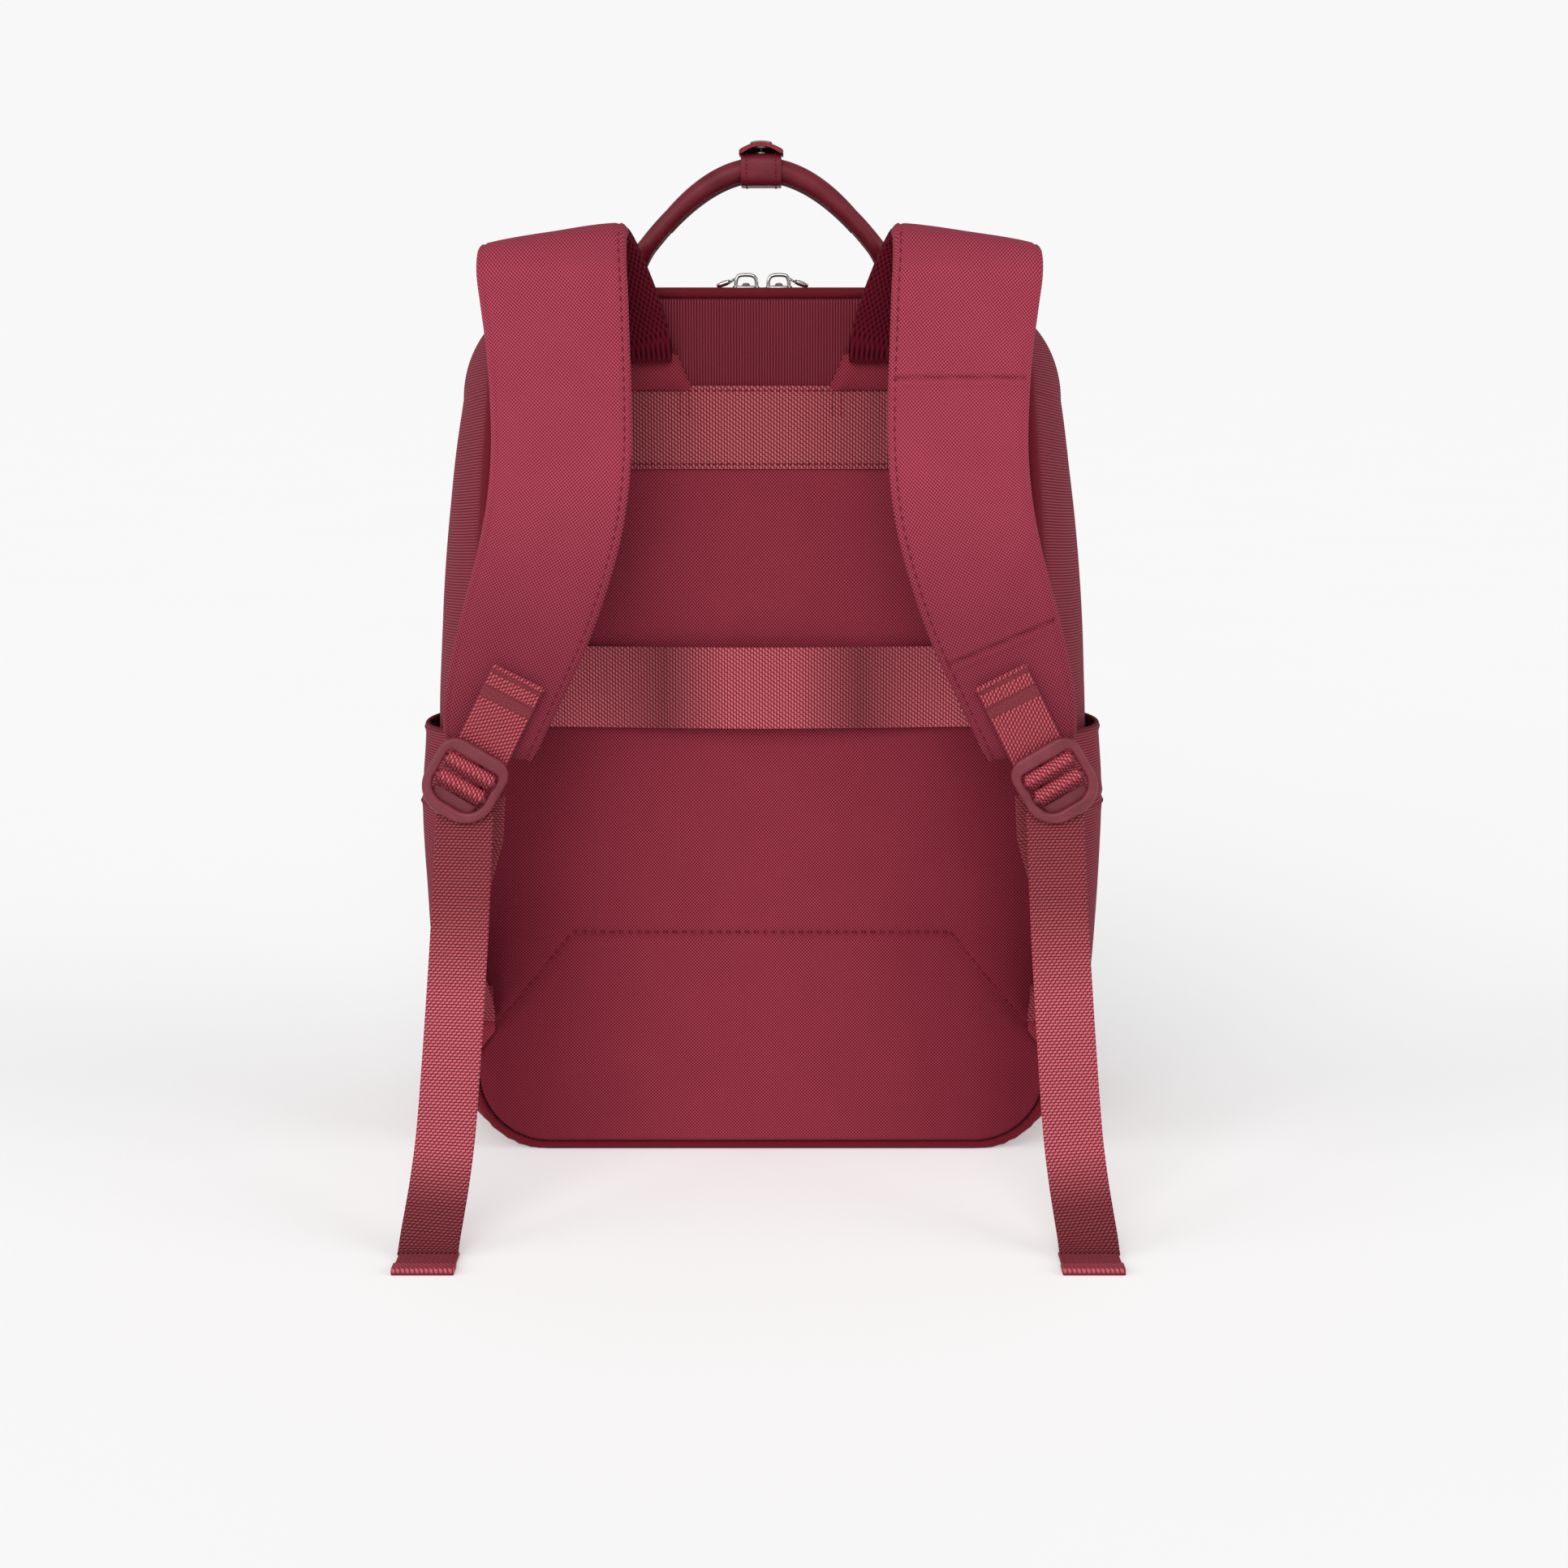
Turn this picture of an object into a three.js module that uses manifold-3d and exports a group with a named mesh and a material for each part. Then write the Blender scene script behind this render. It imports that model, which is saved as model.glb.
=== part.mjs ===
// Travel backpack, standing on its base. Millimetres, +Z up, the straps on the -Y side and the opening front
// on the +Y side. The shell is a closed outline (seen along Y) that grows from the back panel to its widest
// section, and every shell panel is a stretch of that surface, from one share of the outline to another.
import * as THREE from 'three';
import { mergeVertices } from 'three/addons/utils/BufferGeometryUtils.js';
import Module from 'manifold-3d';

const wasm = await Module();
wasm.setup();

// ---- driving dimensions ----
const SKIN = 3; // fabric and foam of the shell
const GAP = 0.35; // between neighbouring pieces
const REAR_OUTLINE = { base: 137, top: 124, height: 408, baseRadius: 36, topRadius: 46, bow: 3 };
const WIDE_OUTLINE = { base: 153, top: 147, height: 410, baseRadius: 36, topRadius: 52, bow: 12 };
const PANEL_DEPTH = 8; // padded back panel
const WIDEST_Y = 90;
const ZIP_Y = 112; // centre line of the main zip
const TAPE_WIDTH = 8.7; // each half of the zip tape
const FRONT_Y = 145;
const FRONT_ROUND = 20;
const FOLD_SHARE = 0.27; // the front folds forward about this height
const BAND_WIDTH = 38;
const WEBBING_WIDTH = 25;
const WEBBING = 1.7; // thickness of all webbing
const DEPTH_SHIFT = 9; // moves the middle of the depth onto the origin
const DIVIDER = { top: 285, rear: 32, thick: 5 };

// Shares of the outline at which its straight and round stretches end.
const BASE_FLAT_END = 0.16;
const BASE_CORNER_END = 0.26;
const SIDE_END = 0.74;
const TOP_CORNER_END = 0.86;

// ---- materials ----
const finish = (color, roughness, metalness = 0) => ({ color, roughness, metalness });
const FABRIC = finish('#8c2a42', 0.85);
const DARK_FABRIC = finish('#7a2339', 0.88);
const STRAP_FABRIC = finish('#9a3a52', 0.85);
const MESH_FABRIC = finish('#5e1128', 0.95);
const WEBBING_FINISH = finish('#a8394c', 0.7);
const LEATHER = finish('#74263a', 0.45);
const WINE_PLASTIC = finish('#8a2d40', 0.4);
const CHROME = finish('#d8d8da', 0.15, 1);
const LINING = finish('#3a3436', 0.9);
const STIFFENER = finish('#2a2a2c', 0.6);

const backpack = new THREE.Group();
const model = new THREE.Group();
model.position.y = DEPTH_SHIFT;
backpack.add(model);

function addPart(name, geometry, look, parent = model) {
  const material = new THREE.MeshStandardMaterial(look);
  const mesh = new THREE.Mesh(geometry, material);
  mesh.name = name;
  parent.add(mesh);
  return mesh;
}

// ---- closed solids from rows of points ----
const point = (x, y, z) => new THREE.Vector3(x, y, z);
const mix = (a, b, t) => a + (b - a) * t;
const steps = (from, to, count) => Array.from({ length: count + 1 }, (_, i) => mix(from, to, i / count));

function closedGeometry(points, faces) {
  const triangles = [];
  for (const face of faces) {
    for (let k = 2; k < face.length; k += 1) {
      triangles.push([face[0], face[k - 1], face[k]]);
    }
  }
  let volume = 0;
  for (const [a, b, c] of triangles) {
    volume += points[a].dot(new THREE.Vector3().crossVectors(points[b], points[c]));
  }
  const outward = volume > 0 ? triangles : triangles.map(([a, b, c]) => [a, c, b]);
  const geometry = new THREE.BufferGeometry();
  geometry.setAttribute('position', new THREE.Float32BufferAttribute(points.flatMap((p) => p.toArray()), 3));
  geometry.setIndex(outward.flat());
  geometry.computeVertexNormals();
  return geometry;
}

// A sheet between two equal grids of points, closed round its four edges.
function sheetBetween(outer, inner) {
  const rows = outer.length;
  const columns = outer[0].length;
  const at = (side, i, j) => (side * rows + i) * columns + j;
  const faces = [];
  for (let i = 0; i < rows - 1; i += 1) {
    for (let j = 0; j < columns - 1; j += 1) {
      faces.push([at(0, i, j), at(0, i + 1, j), at(0, i + 1, j + 1), at(0, i, j + 1)]);
      faces.push([at(1, i, j), at(1, i, j + 1), at(1, i + 1, j + 1), at(1, i + 1, j)]);
    }
  }
  const lastRow = rows - 1;
  const lastColumn = columns - 1;
  for (let i = 0; i < lastRow; i += 1) {
    faces.push([at(0, i, 0), at(1, i, 0), at(1, i + 1, 0), at(0, i + 1, 0)]);
    const j = lastColumn;
    faces.push([at(0, i, j), at(0, i + 1, j), at(1, i + 1, j), at(1, i, j)]);
  }
  for (let j = 0; j < lastColumn; j += 1) {
    faces.push([at(0, 0, j), at(0, 0, j + 1), at(1, 0, j + 1), at(1, 0, j)]);
    faces.push([at(0, lastRow, j + 1), at(0, lastRow, j), at(1, lastRow, j), at(1, lastRow, j + 1)]);
  }
  return closedGeometry([...outer.flat(), ...inner.flat()], faces);
}

// A solid through closed rings of equal length, capped at both ends from the ring's middle.
function loft(rings) {
  const count = rings[0].length;
  const points = rings.flat();
  const faces = [];
  for (let i = 0; i < rings.length - 1; i += 1) {
    for (let j = 0; j < count; j += 1) {
      const k = (j + 1) % count;
      faces.push([i * count + j, (i + 1) * count + j, (i + 1) * count + k, i * count + k]);
    }
  }
  for (const [ring, forward] of [[0, true], [rings.length - 1, false]]) {
    const middle = rings[ring].reduce((sum, p) => sum.add(p), point(0, 0, 0)).divideScalar(count);
    points.push(middle);
    const centre = points.length - 1;
    for (let j = 0; j < count; j += 1) {
      const here = ring * count + j;
      const next = ring * count + ((j + 1) % count);
      faces.push(forward ? [centre, here, next] : [centre, next, here]);
    }
  }
  return closedGeometry(points, faces);
}

// ---- the shell's surface ----
// A point of the outline at a share of its half length: 0 is the middle of the base, 1 the middle of the top.
// Shares beyond 1 run down the other side, and negative shares mirror.
function outlinePoint(outline, share, inset) {
  const wrapped = share > 1 ? share - 2 : share;
  const side = wrapped < 0 ? -1 : 1;
  const s = Math.abs(wrapped);
  const baseRadius = outline.baseRadius - inset;
  const topRadius = outline.topRadius - inset;
  const baseCentreX = outline.base - outline.baseRadius;
  const topCentreX = outline.top - outline.topRadius;
  const topCentreZ = outline.height - outline.topRadius;
  let x;
  let z;
  if (s <= BASE_FLAT_END) {
    x = baseCentreX * (s / BASE_FLAT_END);
    z = inset;
  } else if (s <= BASE_CORNER_END) {
    const angle = ((s - BASE_FLAT_END) / (BASE_CORNER_END - BASE_FLAT_END)) * (Math.PI / 2);
    x = baseCentreX + baseRadius * Math.sin(angle);
    z = outline.baseRadius - baseRadius * Math.cos(angle);
  } else if (s <= SIDE_END) {
    const t = (s - BASE_CORNER_END) / (SIDE_END - BASE_CORNER_END);
    x = mix(outline.base, outline.top, t) + outline.bow * 4 * t * (1 - t) - inset;
    z = mix(outline.baseRadius, topCentreZ, t);
  } else if (s <= TOP_CORNER_END) {
    const angle = ((s - SIDE_END) / (TOP_CORNER_END - SIDE_END)) * (Math.PI / 2);
    x = topCentreX + topRadius * Math.cos(angle);
    z = topCentreZ + topRadius * Math.sin(angle);
  } else {
    x = topCentreX * (1 - (s - TOP_CORNER_END) / (1 - TOP_CORNER_END));
    z = outline.height - inset;
  }
  return [side * x, z];
}

const flare = (y) => Math.sin((Math.PI / 2) * Math.min(1, Math.max(0, y / WIDEST_Y)));

function shellPoint(share, y, inset) {
  const [rearX, rearZ] = outlinePoint(REAR_OUTLINE, share, inset);
  const [wideX, wideZ] = outlinePoint(WIDE_OUTLINE, share, inset);
  return point(mix(rearX, wideX, flare(y)), y, mix(rearZ, wideZ, flare(y)));
}

// Shares spread so that each round stretch gets its own steps.
function outlineShares(from, to) {
  const marks = [
    [0, 2], [BASE_FLAT_END, 6], [BASE_CORNER_END, 9], [SIDE_END, 7], [TOP_CORNER_END, 3],
  ];
  const half = marks.flatMap(([start, count], i) => {
    const end = i + 1 < marks.length ? marks[i + 1][0] : 1;
    return steps(start, end, count).slice(0, -1);
  });
  const all = [...half, 1, ...half.slice(1).reverse().map((s) => 2 - s)];
  const margin = 0.008;
  const within = (list) => list.filter((s) => s > from + margin && s < to - margin);
  const negative = half.slice(1).reverse().map((s) => -s);
  return [from, ...within([...negative, ...all]), to];
}

const wholeOutline = outlineShares(-1, 1).slice(0, -1);
const outlineRing = (y, inset) => wholeOutline.map((share) => shellPoint(share, y, inset));

// A stretch of the shell. The profile lists [outer y, outer inset, inner y, inner inset] from back to front.
function shellBand(from, to, profile) {
  const shares = outlineShares(from, to);
  const outer = shares.map((share) => profile.map(([y, inset]) => shellPoint(share, y, inset)));
  const inner = shares.map((share) => profile.map(([, , y, inset]) => shellPoint(share, y, inset)));
  return sheetBetween(outer, inner);
}

const wall = (y) => [y, 0, y, SKIN];
const TAPE_START = ZIP_Y - TAPE_WIDTH;
const TAPE_END = ZIP_Y + TAPE_WIDTH;
const GUSSET_START = PANEL_DEPTH + GAP;
const rearWalls = [GUSSET_START, 20, 35, 52, 70, WIDEST_Y, TAPE_START - GAP].map(wall);
const roundStart = FRONT_Y - FRONT_ROUND;
const roundWalls = steps(0, Math.PI / 2, 4).map((angle) => [
  roundStart + FRONT_ROUND * Math.sin(angle),
  FRONT_ROUND * (1 - Math.cos(angle)),
  roundStart + (FRONT_ROUND - SKIN) * Math.sin(angle),
  SKIN + (FRONT_ROUND - SKIN) * (1 - Math.cos(angle)),
]);
const frontWalls = [wall(TAPE_END + GAP), ...roundWalls];
const SEAM = 0.0008; // share of the outline left open between neighbouring panels

// ---- fixed shell ----
function backPanel() {
  const rings = [[0, 6], [0.8, 3], [2.4, 1], [5, 0], [PANEL_DEPTH, 0]];
  return loft(rings.map(([y, inset]) => outlineRing(y, inset)));
}

// A plate that fills the outline at one depth, inset from the shell, between two shares of it.
function outlinePlate(fromY, toY, inset, from, to) {
  const shares = outlineShares(from, to);
  return loft([fromY, toY].map((y) => shares.map((share) => shellPoint(share, y, inset))));
}

function shareAtHeight(height) {
  const { baseRadius, topRadius } = WIDE_OUTLINE;
  const t = (height - baseRadius) / (WIDE_OUTLINE.height - topRadius - baseRadius);
  return mix(BASE_CORNER_END, SIDE_END, t);
}

addPart('back_panel', backPanel(), FABRIC);
const SHEET = { thick: 1.2, inset: SKIN + 1.5 };
addPart('frame_sheet',
  outlinePlate(GUSSET_START, GUSSET_START + SHEET.thick, SHEET.inset, -1, 1 - SEAM), STIFFENER);
const baseWalls = [...rearWalls.slice(0, -1), ...roundWalls];
addPart('base_panel', shellBand(-FOLD_SHARE, FOLD_SHARE, baseWalls), DARK_FABRIC);
for (const [side, from, to] of [
  ['right', FOLD_SHARE, SIDE_END],
  ['left', 2 - SIDE_END, 2 - FOLD_SHARE],
]) {
  addPart(`side_gusset_${side}`, shellBand(from + SEAM, to - SEAM, rearWalls), FABRIC);
}
addPart('top_gusset', shellBand(SIDE_END + SEAM, 2 - SIDE_END - SEAM, rearWalls), FABRIC);
addPart('lower_front_panel',
  outlinePlate(FRONT_Y - SKIN, FRONT_Y, FRONT_ROUND + GAP, -FOLD_SHARE, FOLD_SHARE), DARK_FABRIC);

function roundedBox(width, depth, height, radius) {
  const shape = new THREE.Shape();
  const x = width / 2;
  const y = depth / 2;
  shape.moveTo(-x + radius, -y);
  shape.lineTo(x - radius, -y);
  shape.absarc(x - radius, -y + radius, radius, -Math.PI / 2, 0);
  shape.lineTo(x, y - radius);
  shape.absarc(x - radius, y - radius, radius, 0, Math.PI / 2);
  shape.lineTo(-x + radius, y);
  shape.absarc(-x + radius, y - radius, radius, Math.PI / 2, Math.PI);
  shape.lineTo(-x, -y + radius);
  shape.absarc(-x + radius, -y + radius, radius, Math.PI, 1.5 * Math.PI);
  return new THREE.ExtrudeGeometry(shape, { depth: height, bevelEnabled: false, curveSegments: 5 });
}

const BOARD = { width: 200, depth: 84, thick: 2, corner: 12, y: 80.5 };
const board = addPart('base_board', roundedBox(BOARD.width, BOARD.depth, BOARD.thick, BOARD.corner), STIFFENER);
board.position.set(0, BOARD.y, SKIN + GAP);
const dividerShare = shareAtHeight(DIVIDER.top);
addPart('laptop_divider',
  outlinePlate(DIVIDER.rear, DIVIDER.rear + DIVIDER.thick, SKIN * 2, -dividerShare, dividerShare), LINING);

// ---- side pockets ----
const POCKET = { rear: 12, front: 99, startShare: 0.208, top: 203, bulge: 8.5, cloth: 1.8 };

function sidePocket(side) {
  const heights = steps(0, 1, 12).map((t) => t ** 1.25);
  const depths = steps(0, 1, 10);
  const shareAt = (v) => mix(POCKET.startShare, shareAtHeight(POCKET.top), v);
  const grid = (extra) => heights.map((v) => depths.map((t) => {
    const fromBottom = Math.min(1, v / 0.2) ** 0.5;
    const bulge = POCKET.bulge * Math.sin(Math.PI * t) ** 0.8 * fromBottom;
    const y = mix(POCKET.rear, POCKET.front, t);
    return shellPoint(side * shareAt(v), y, -(GAP + bulge + extra));
  }));
  return sheetBetween(grid(POCKET.cloth), grid(0));
}

// ---- webbing and padded ribbons along a path ----
// A station is { at: [x, y, z], across: [x, y, z], width, thick }. The ribbon's thickness lies square to both
// its path and its width.
function ribbonRings(stations, corners) {
  return stations.map((station, i) => {
    const before = stations[Math.max(0, i - 1)];
    const after = stations[Math.min(stations.length - 1, i + 1)];
    const along = point(...after.at).sub(point(...before.at)).normalize();
    const across = point(...station.across);
    if (!station.level) across.addScaledVector(along, -across.dot(along));
    across.normalize();
    const through = new THREE.Vector3().crossVectors(across, along).normalize();
    return corners.map(([u, v]) => point(...station.at)
      .addScaledVector(across, (u * station.width) / 2)
      .addScaledVector(through, (v * station.thick) / 2 + (station.lift ?? 0)));
  });
}

const FLAT_SECTION = [[-1, -1], [1, -1], [1, 1], [-1, 1]];
const PAD_SECTION = [[-1, -0.25], [-0.9, -0.8], [-0.72, -1], [0, -1], [0.72, -1], [0.9, -0.8], [1, -0.25],
  [1, 0.6], [0.93, 1], [0, 1], [-0.93, 1], [-1, 0.6]];
const LINING_SECTION = [[-0.93, -1], [0, -1], [0.93, -1], [0.93, 1], [0, 1], [-0.93, 1]];
const ribbon = (stations) => loft(ribbonRings(stations, FLAT_SECTION));

function bandPath(halfLength, y, z, bow) {
  return steps(-1, 1, 16).map((t) => ({
    at: [t * halfLength, y - bow * Math.cos((Math.PI / 2) * t) ** 2, z],
    across: [0, 0, 1],
    width: BAND_WIDTH,
    thick: WEBBING,
  }));
}

const UPPER_BAND = { half: 114, z: 347.5 };
const TROLLEY_BAND = { half: 126, z: 227, bow: 7 }; // bows off the panel, so a suitcase handle fits behind
const SEWN_ON = -(WEBBING / 2 + GAP);
addPart('upper_band', ribbon(bandPath(UPPER_BAND.half, SEWN_ON, UPPER_BAND.z, 0)), WEBBING_FINISH);
addPart('trolley_band',
  ribbon(bandPath(TROLLEY_BAND.half, SEWN_ON, TROLLEY_BAND.z, TROLLEY_BAND.bow)), WEBBING_FINISH);

// ---- main zip ----
const CHAIN_RISE = 1.6; // the teeth stand out of the tape
const CHAIN_START = 2.8; // half the width of the chain
const CHAIN_FOOT = 3.2;
const TAPE_THICK = 1.2;
addPart('zip_tape_rear', shellBand(FOLD_SHARE + SEAM, 2 - FOLD_SHARE - SEAM, [
  [TAPE_START, 0, TAPE_START, TAPE_THICK],
  [ZIP_Y - CHAIN_FOOT, 0, ZIP_Y - CHAIN_FOOT, TAPE_THICK],
  [ZIP_Y - CHAIN_START, -CHAIN_RISE, ZIP_Y - CHAIN_START, TAPE_THICK],
  [ZIP_Y - GAP / 2, -CHAIN_RISE, ZIP_Y - GAP / 2, TAPE_THICK],
]), DARK_FABRIC);

// ---- opening front ----
addPart('zip_tape_front', shellBand(FOLD_SHARE + SEAM, 2 - FOLD_SHARE - SEAM, [
  [ZIP_Y + GAP / 2, -CHAIN_RISE, ZIP_Y + GAP / 2, TAPE_THICK],
  [ZIP_Y + CHAIN_START, -CHAIN_RISE, ZIP_Y + CHAIN_START, TAPE_THICK],
  [ZIP_Y + CHAIN_FOOT, 0, ZIP_Y + CHAIN_FOOT, TAPE_THICK],
  [TAPE_END, 0, TAPE_END, TAPE_THICK],
]), DARK_FABRIC);
addPart('cover_gusset', shellBand(FOLD_SHARE + SEAM, 2 - FOLD_SHARE - SEAM, frontWalls), FABRIC);
addPart('front_panel', outlinePlate(
  FRONT_Y - SKIN, FRONT_Y, FRONT_ROUND + GAP, FOLD_SHARE + SEAM, 2 - FOLD_SHARE - SEAM), FABRIC);

const FRONT_POCKET = { width: 214, bottom: 62, top: 236, corner: 22, depth: 5 };
function frontPocket() {
  const height = FRONT_POCKET.top - FRONT_POCKET.bottom;
  const middle = (FRONT_POCKET.top + FRONT_POCKET.bottom) / 2;
  const ring = (y, inset) => {
    const corners = [[1, -1], [1, 1], [-1, 1], [-1, -1]];
    const radius = FRONT_POCKET.corner - inset;
    return corners.flatMap(([sx, sz], i) => steps(i * 90 - 90, i * 90, 4).map((degrees) => {
      const angle = THREE.MathUtils.degToRad(degrees);
      return point(
        sx * (FRONT_POCKET.width / 2 - FRONT_POCKET.corner) + radius * Math.cos(angle),
        y,
        middle + sz * (height / 2 - FRONT_POCKET.corner) + radius * Math.sin(angle),
      );
    }));
  };
  const y = FRONT_Y + GAP;
  return loft([ring(y, 0), ring(y + 3, 0), ring(y + FRONT_POCKET.depth, 3)]);
}
addPart('front_pocket', frontPocket(), FABRIC);
const POCKET_ZIP_Z = FRONT_POCKET.top + 7;
const POCKET_ZIP = { length: 204, width: 12, thick: 2, corner: 5 };
const pocketZip = addPart('front_pocket_zip',
  roundedBox(POCKET_ZIP.length, POCKET_ZIP.width, POCKET_ZIP.thick, POCKET_ZIP.corner), DARK_FABRIC);
pocketZip.rotation.x = Math.PI / 2;
pocketZip.position.set(0, FRONT_Y + GAP + POCKET_ZIP.thick, POCKET_ZIP_Z);

// ---- sliders and pulls ----
function solidOf(geometry) {
  const bare = geometry.clone();
  bare.deleteAttribute('normal');
  bare.deleteAttribute('uv');
  const merged = mergeVertices(bare, 1e-4);
  return new wasm.Manifold(new wasm.Mesh({
    numProp: 3,
    vertProperties: Float32Array.from(merged.getAttribute('position').array),
    triVerts: Uint32Array.from(merged.index.array),
  }));
}

function joined(first, second) {
  const mesh = solidOf(first).add(solidOf(second)).getMesh();
  const geometry = new THREE.BufferGeometry();
  geometry.setAttribute('position', new THREE.Float32BufferAttribute(mesh.vertProperties, 3));
  geometry.setIndex(Array.from(mesh.triVerts));
  geometry.computeVertexNormals();
  return geometry;
}

// The slider lies along X with its crown up and its foot at z = 0. The pull hangs on the crown, towards -X.
const SLIDER = { length: 13.4, width: 8.6, plate: 2, crown: 8 };
function sliderBody() {
  const outline = new THREE.Shape();
  outline.moveTo(-5.6, 1);
  outline.lineTo(5.4, 1);
  outline.lineTo(5, 6.4);
  outline.quadraticCurveTo(4.8, SLIDER.crown, 3.2, SLIDER.crown);
  outline.lineTo(-2.8, SLIDER.crown);
  outline.quadraticCurveTo(-4.8, SLIDER.crown, -5.4, 5);
  outline.closePath();
  const eye = new THREE.Path();
  eye.moveTo(-4, 2.8);
  eye.lineTo(3.8, 2.8);
  eye.lineTo(3.4, 6.5);
  eye.lineTo(-3.4, 6.5);
  eye.closePath();
  outline.holes.push(eye);
  const crown = new THREE.ExtrudeGeometry(outline, { depth: 2.6, bevelEnabled: false, curveSegments: 4 });
  crown.translate(0, 0, -1.3);
  crown.rotateX(Math.PI / 2);
  return joined(roundedBox(SLIDER.length, SLIDER.width, SLIDER.plate, 3), crown);
}

const PULL = { reach: 10.5, width: 7.6, thick: 1.8, slope: THREE.MathUtils.degToRad(20) };
function pullFrame() {
  const outline = new THREE.Shape();
  const half = PULL.width / 2;
  outline.moveTo(0, -1.6);
  outline.lineTo(-2, -half);
  outline.lineTo(-PULL.reach + 2, -half);
  outline.quadraticCurveTo(-PULL.reach, -half, -PULL.reach, -half + 2);
  outline.lineTo(-PULL.reach, half - 2);
  outline.quadraticCurveTo(-PULL.reach, half, -PULL.reach + 2, half);
  outline.lineTo(-2, half);
  outline.lineTo(0, 1.6);
  outline.closePath();
  const window = new THREE.Path();
  window.moveTo(-3.4, -half + 1.3);
  window.lineTo(-3.4, half - 1.3);
  window.lineTo(-PULL.reach + 1.5, half - 1.3);
  window.lineTo(-PULL.reach + 1.5, -half + 1.3);
  window.closePath();
  outline.holes.push(window);
  return new THREE.ExtrudeGeometry(outline, { depth: PULL.thick, bevelEnabled: false, curveSegments: 3 });
}

function pullInsert() {
  const length = PULL.reach - 1.5 - 3.4 - 0.7;
  const insert = roundedBox(length, PULL.width - 2.6 - 0.7, PULL.thick + 0.6, 0.8);
  return insert.translate(-(3.4 + 0.35 + length / 2), 0, -0.3);
}

const SLIDER_X = 8.2;
const SLIDER_Z = WIDE_OUTLINE.height + CHAIN_RISE + 0.6;
const PULL_PIVOT = { x: 6.8, z: 4.6 };

function zipPull(name, x, y, z, turn) {
  const group = new THREE.Group();
  group.position.set(x, y, z);
  group.rotation.set(...turn);
  model.add(group);
  addPart(`zip_pull_${name}`, pullFrame(), CHROME, group).position.z = -PULL.thick / 2;
  addPart(`pull_insert_${name}`, pullInsert(), LEATHER, group).position.z = -PULL.thick / 2;
}

for (const [side, name] of [[-1, 'left'], [1, 'right']]) {
  const turn = side > 0 ? Math.PI : 0;
  const slider = new THREE.Group();
  slider.position.set(side * SLIDER_X, ZIP_Y, SLIDER_Z);
  slider.rotation.z = turn;
  model.add(slider);
  addPart(`zip_slider_${name}`, sliderBody(), CHROME, slider);
  const pivotX = side * (SLIDER_X + PULL_PIVOT.x);
  zipPull(name, pivotX, ZIP_Y, SLIDER_Z + PULL_PIVOT.z, [0, side * PULL.slope, turn]);
}

const POCKET_SLIDER = { x: -88, y: FRONT_Y + GAP + 2.5 };
const pocketSlider = new THREE.Group();
pocketSlider.position.set(POCKET_SLIDER.x, POCKET_SLIDER.y, POCKET_ZIP_Z);
pocketSlider.rotation.x = -Math.PI / 2;
model.add(pocketSlider);
addPart('pocket_slider', sliderBody(), CHROME, pocketSlider);
const pocketPullY = POCKET_SLIDER.y + PULL_PIVOT.z;
zipPull('pocket', POCKET_SLIDER.x - PULL_PIVOT.x, pocketPullY, POCKET_ZIP_Z, [-Math.PI / 2, 0, 0]);

// ---- carry handle ----
const HANDLE = { y: 57, spread: 7, crest: 467.2, drop: 0.0116, halfSpan: 63, radius: 5.5 };
function handleCord(side) {
  const rings = steps(-1, 1, 30).map((t) => {
    const x = t * HANDLE.halfSpan;
    const slope = -2 * HANDLE.drop * x;
    const length = Math.hypot(1, slope);
    const fromEnd = Math.min(1, (1 - Math.abs(t)) / 0.22);
    const gather = fromEnd * fromEnd * (3 - 2 * fromEnd);
    const offset = mix(1.75, HANDLE.spread, gather);
    const inPlane = mix(7.5, HANDLE.radius, gather);
    const sideways = mix(1.4, HANDLE.radius, gather);
    const centre = point(x, HANDLE.y + side * offset, HANDLE.crest - HANDLE.drop * x * x);
    return steps(0, 2 * Math.PI, 10).slice(0, -1).map((angle) => centre.clone().add(point(
      (-slope / length) * inPlane * Math.cos(angle),
      sideways * Math.sin(angle),
      (1 / length) * inPlane * Math.cos(angle),
    )));
  });
  return loft(rings);
}
addPart('handle_cord_near', handleCord(-1), LEATHER);
addPart('handle_cord_far', handleCord(1), LEATHER);

const WRAP = { halfWidth: 9.6, bottom: 459.2, top: 474.3, wall: 1.3, round: 5 };
function handleWrap() {
  const tube = (grow) => {
    const y = HANDLE.spread + HANDLE.radius + 0.4 + grow;
    const z = (WRAP.top - WRAP.bottom) / 2 - WRAP.wall + grow;
    const r = WRAP.round + grow - 1;
    const path = grow > 0 ? new THREE.Shape() : new THREE.Path();
    path.moveTo(-y + r, -z);
    path.lineTo(y - r, -z);
    path.absarc(y - r, -z + r, r, -Math.PI / 2, 0);
    path.lineTo(y, z - r);
    path.absarc(y - r, z - r, r, 0, Math.PI / 2);
    path.lineTo(-y + r, z);
    path.absarc(-y + r, z - r, r, Math.PI / 2, Math.PI);
    path.lineTo(-y, -z + r);
    path.absarc(-y + r, -z + r, r, Math.PI, 1.5 * Math.PI);
    return path;
  };
  const section = tube(WRAP.wall);
  section.holes.push(tube(0));
  const settings = { depth: 2 * WRAP.halfWidth, bevelEnabled: false, curveSegments: 5 };
  const geometry = new THREE.ExtrudeGeometry(section, settings);
  geometry.translate(0, 0, -WRAP.halfWidth);
  geometry.rotateX(Math.PI / 2);
  return geometry.rotateZ(Math.PI / 2);
}
addPart('handle_wrap', handleWrap(), LEATHER).position.set(0, HANDLE.y, (WRAP.top + WRAP.bottom) / 2);

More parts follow.
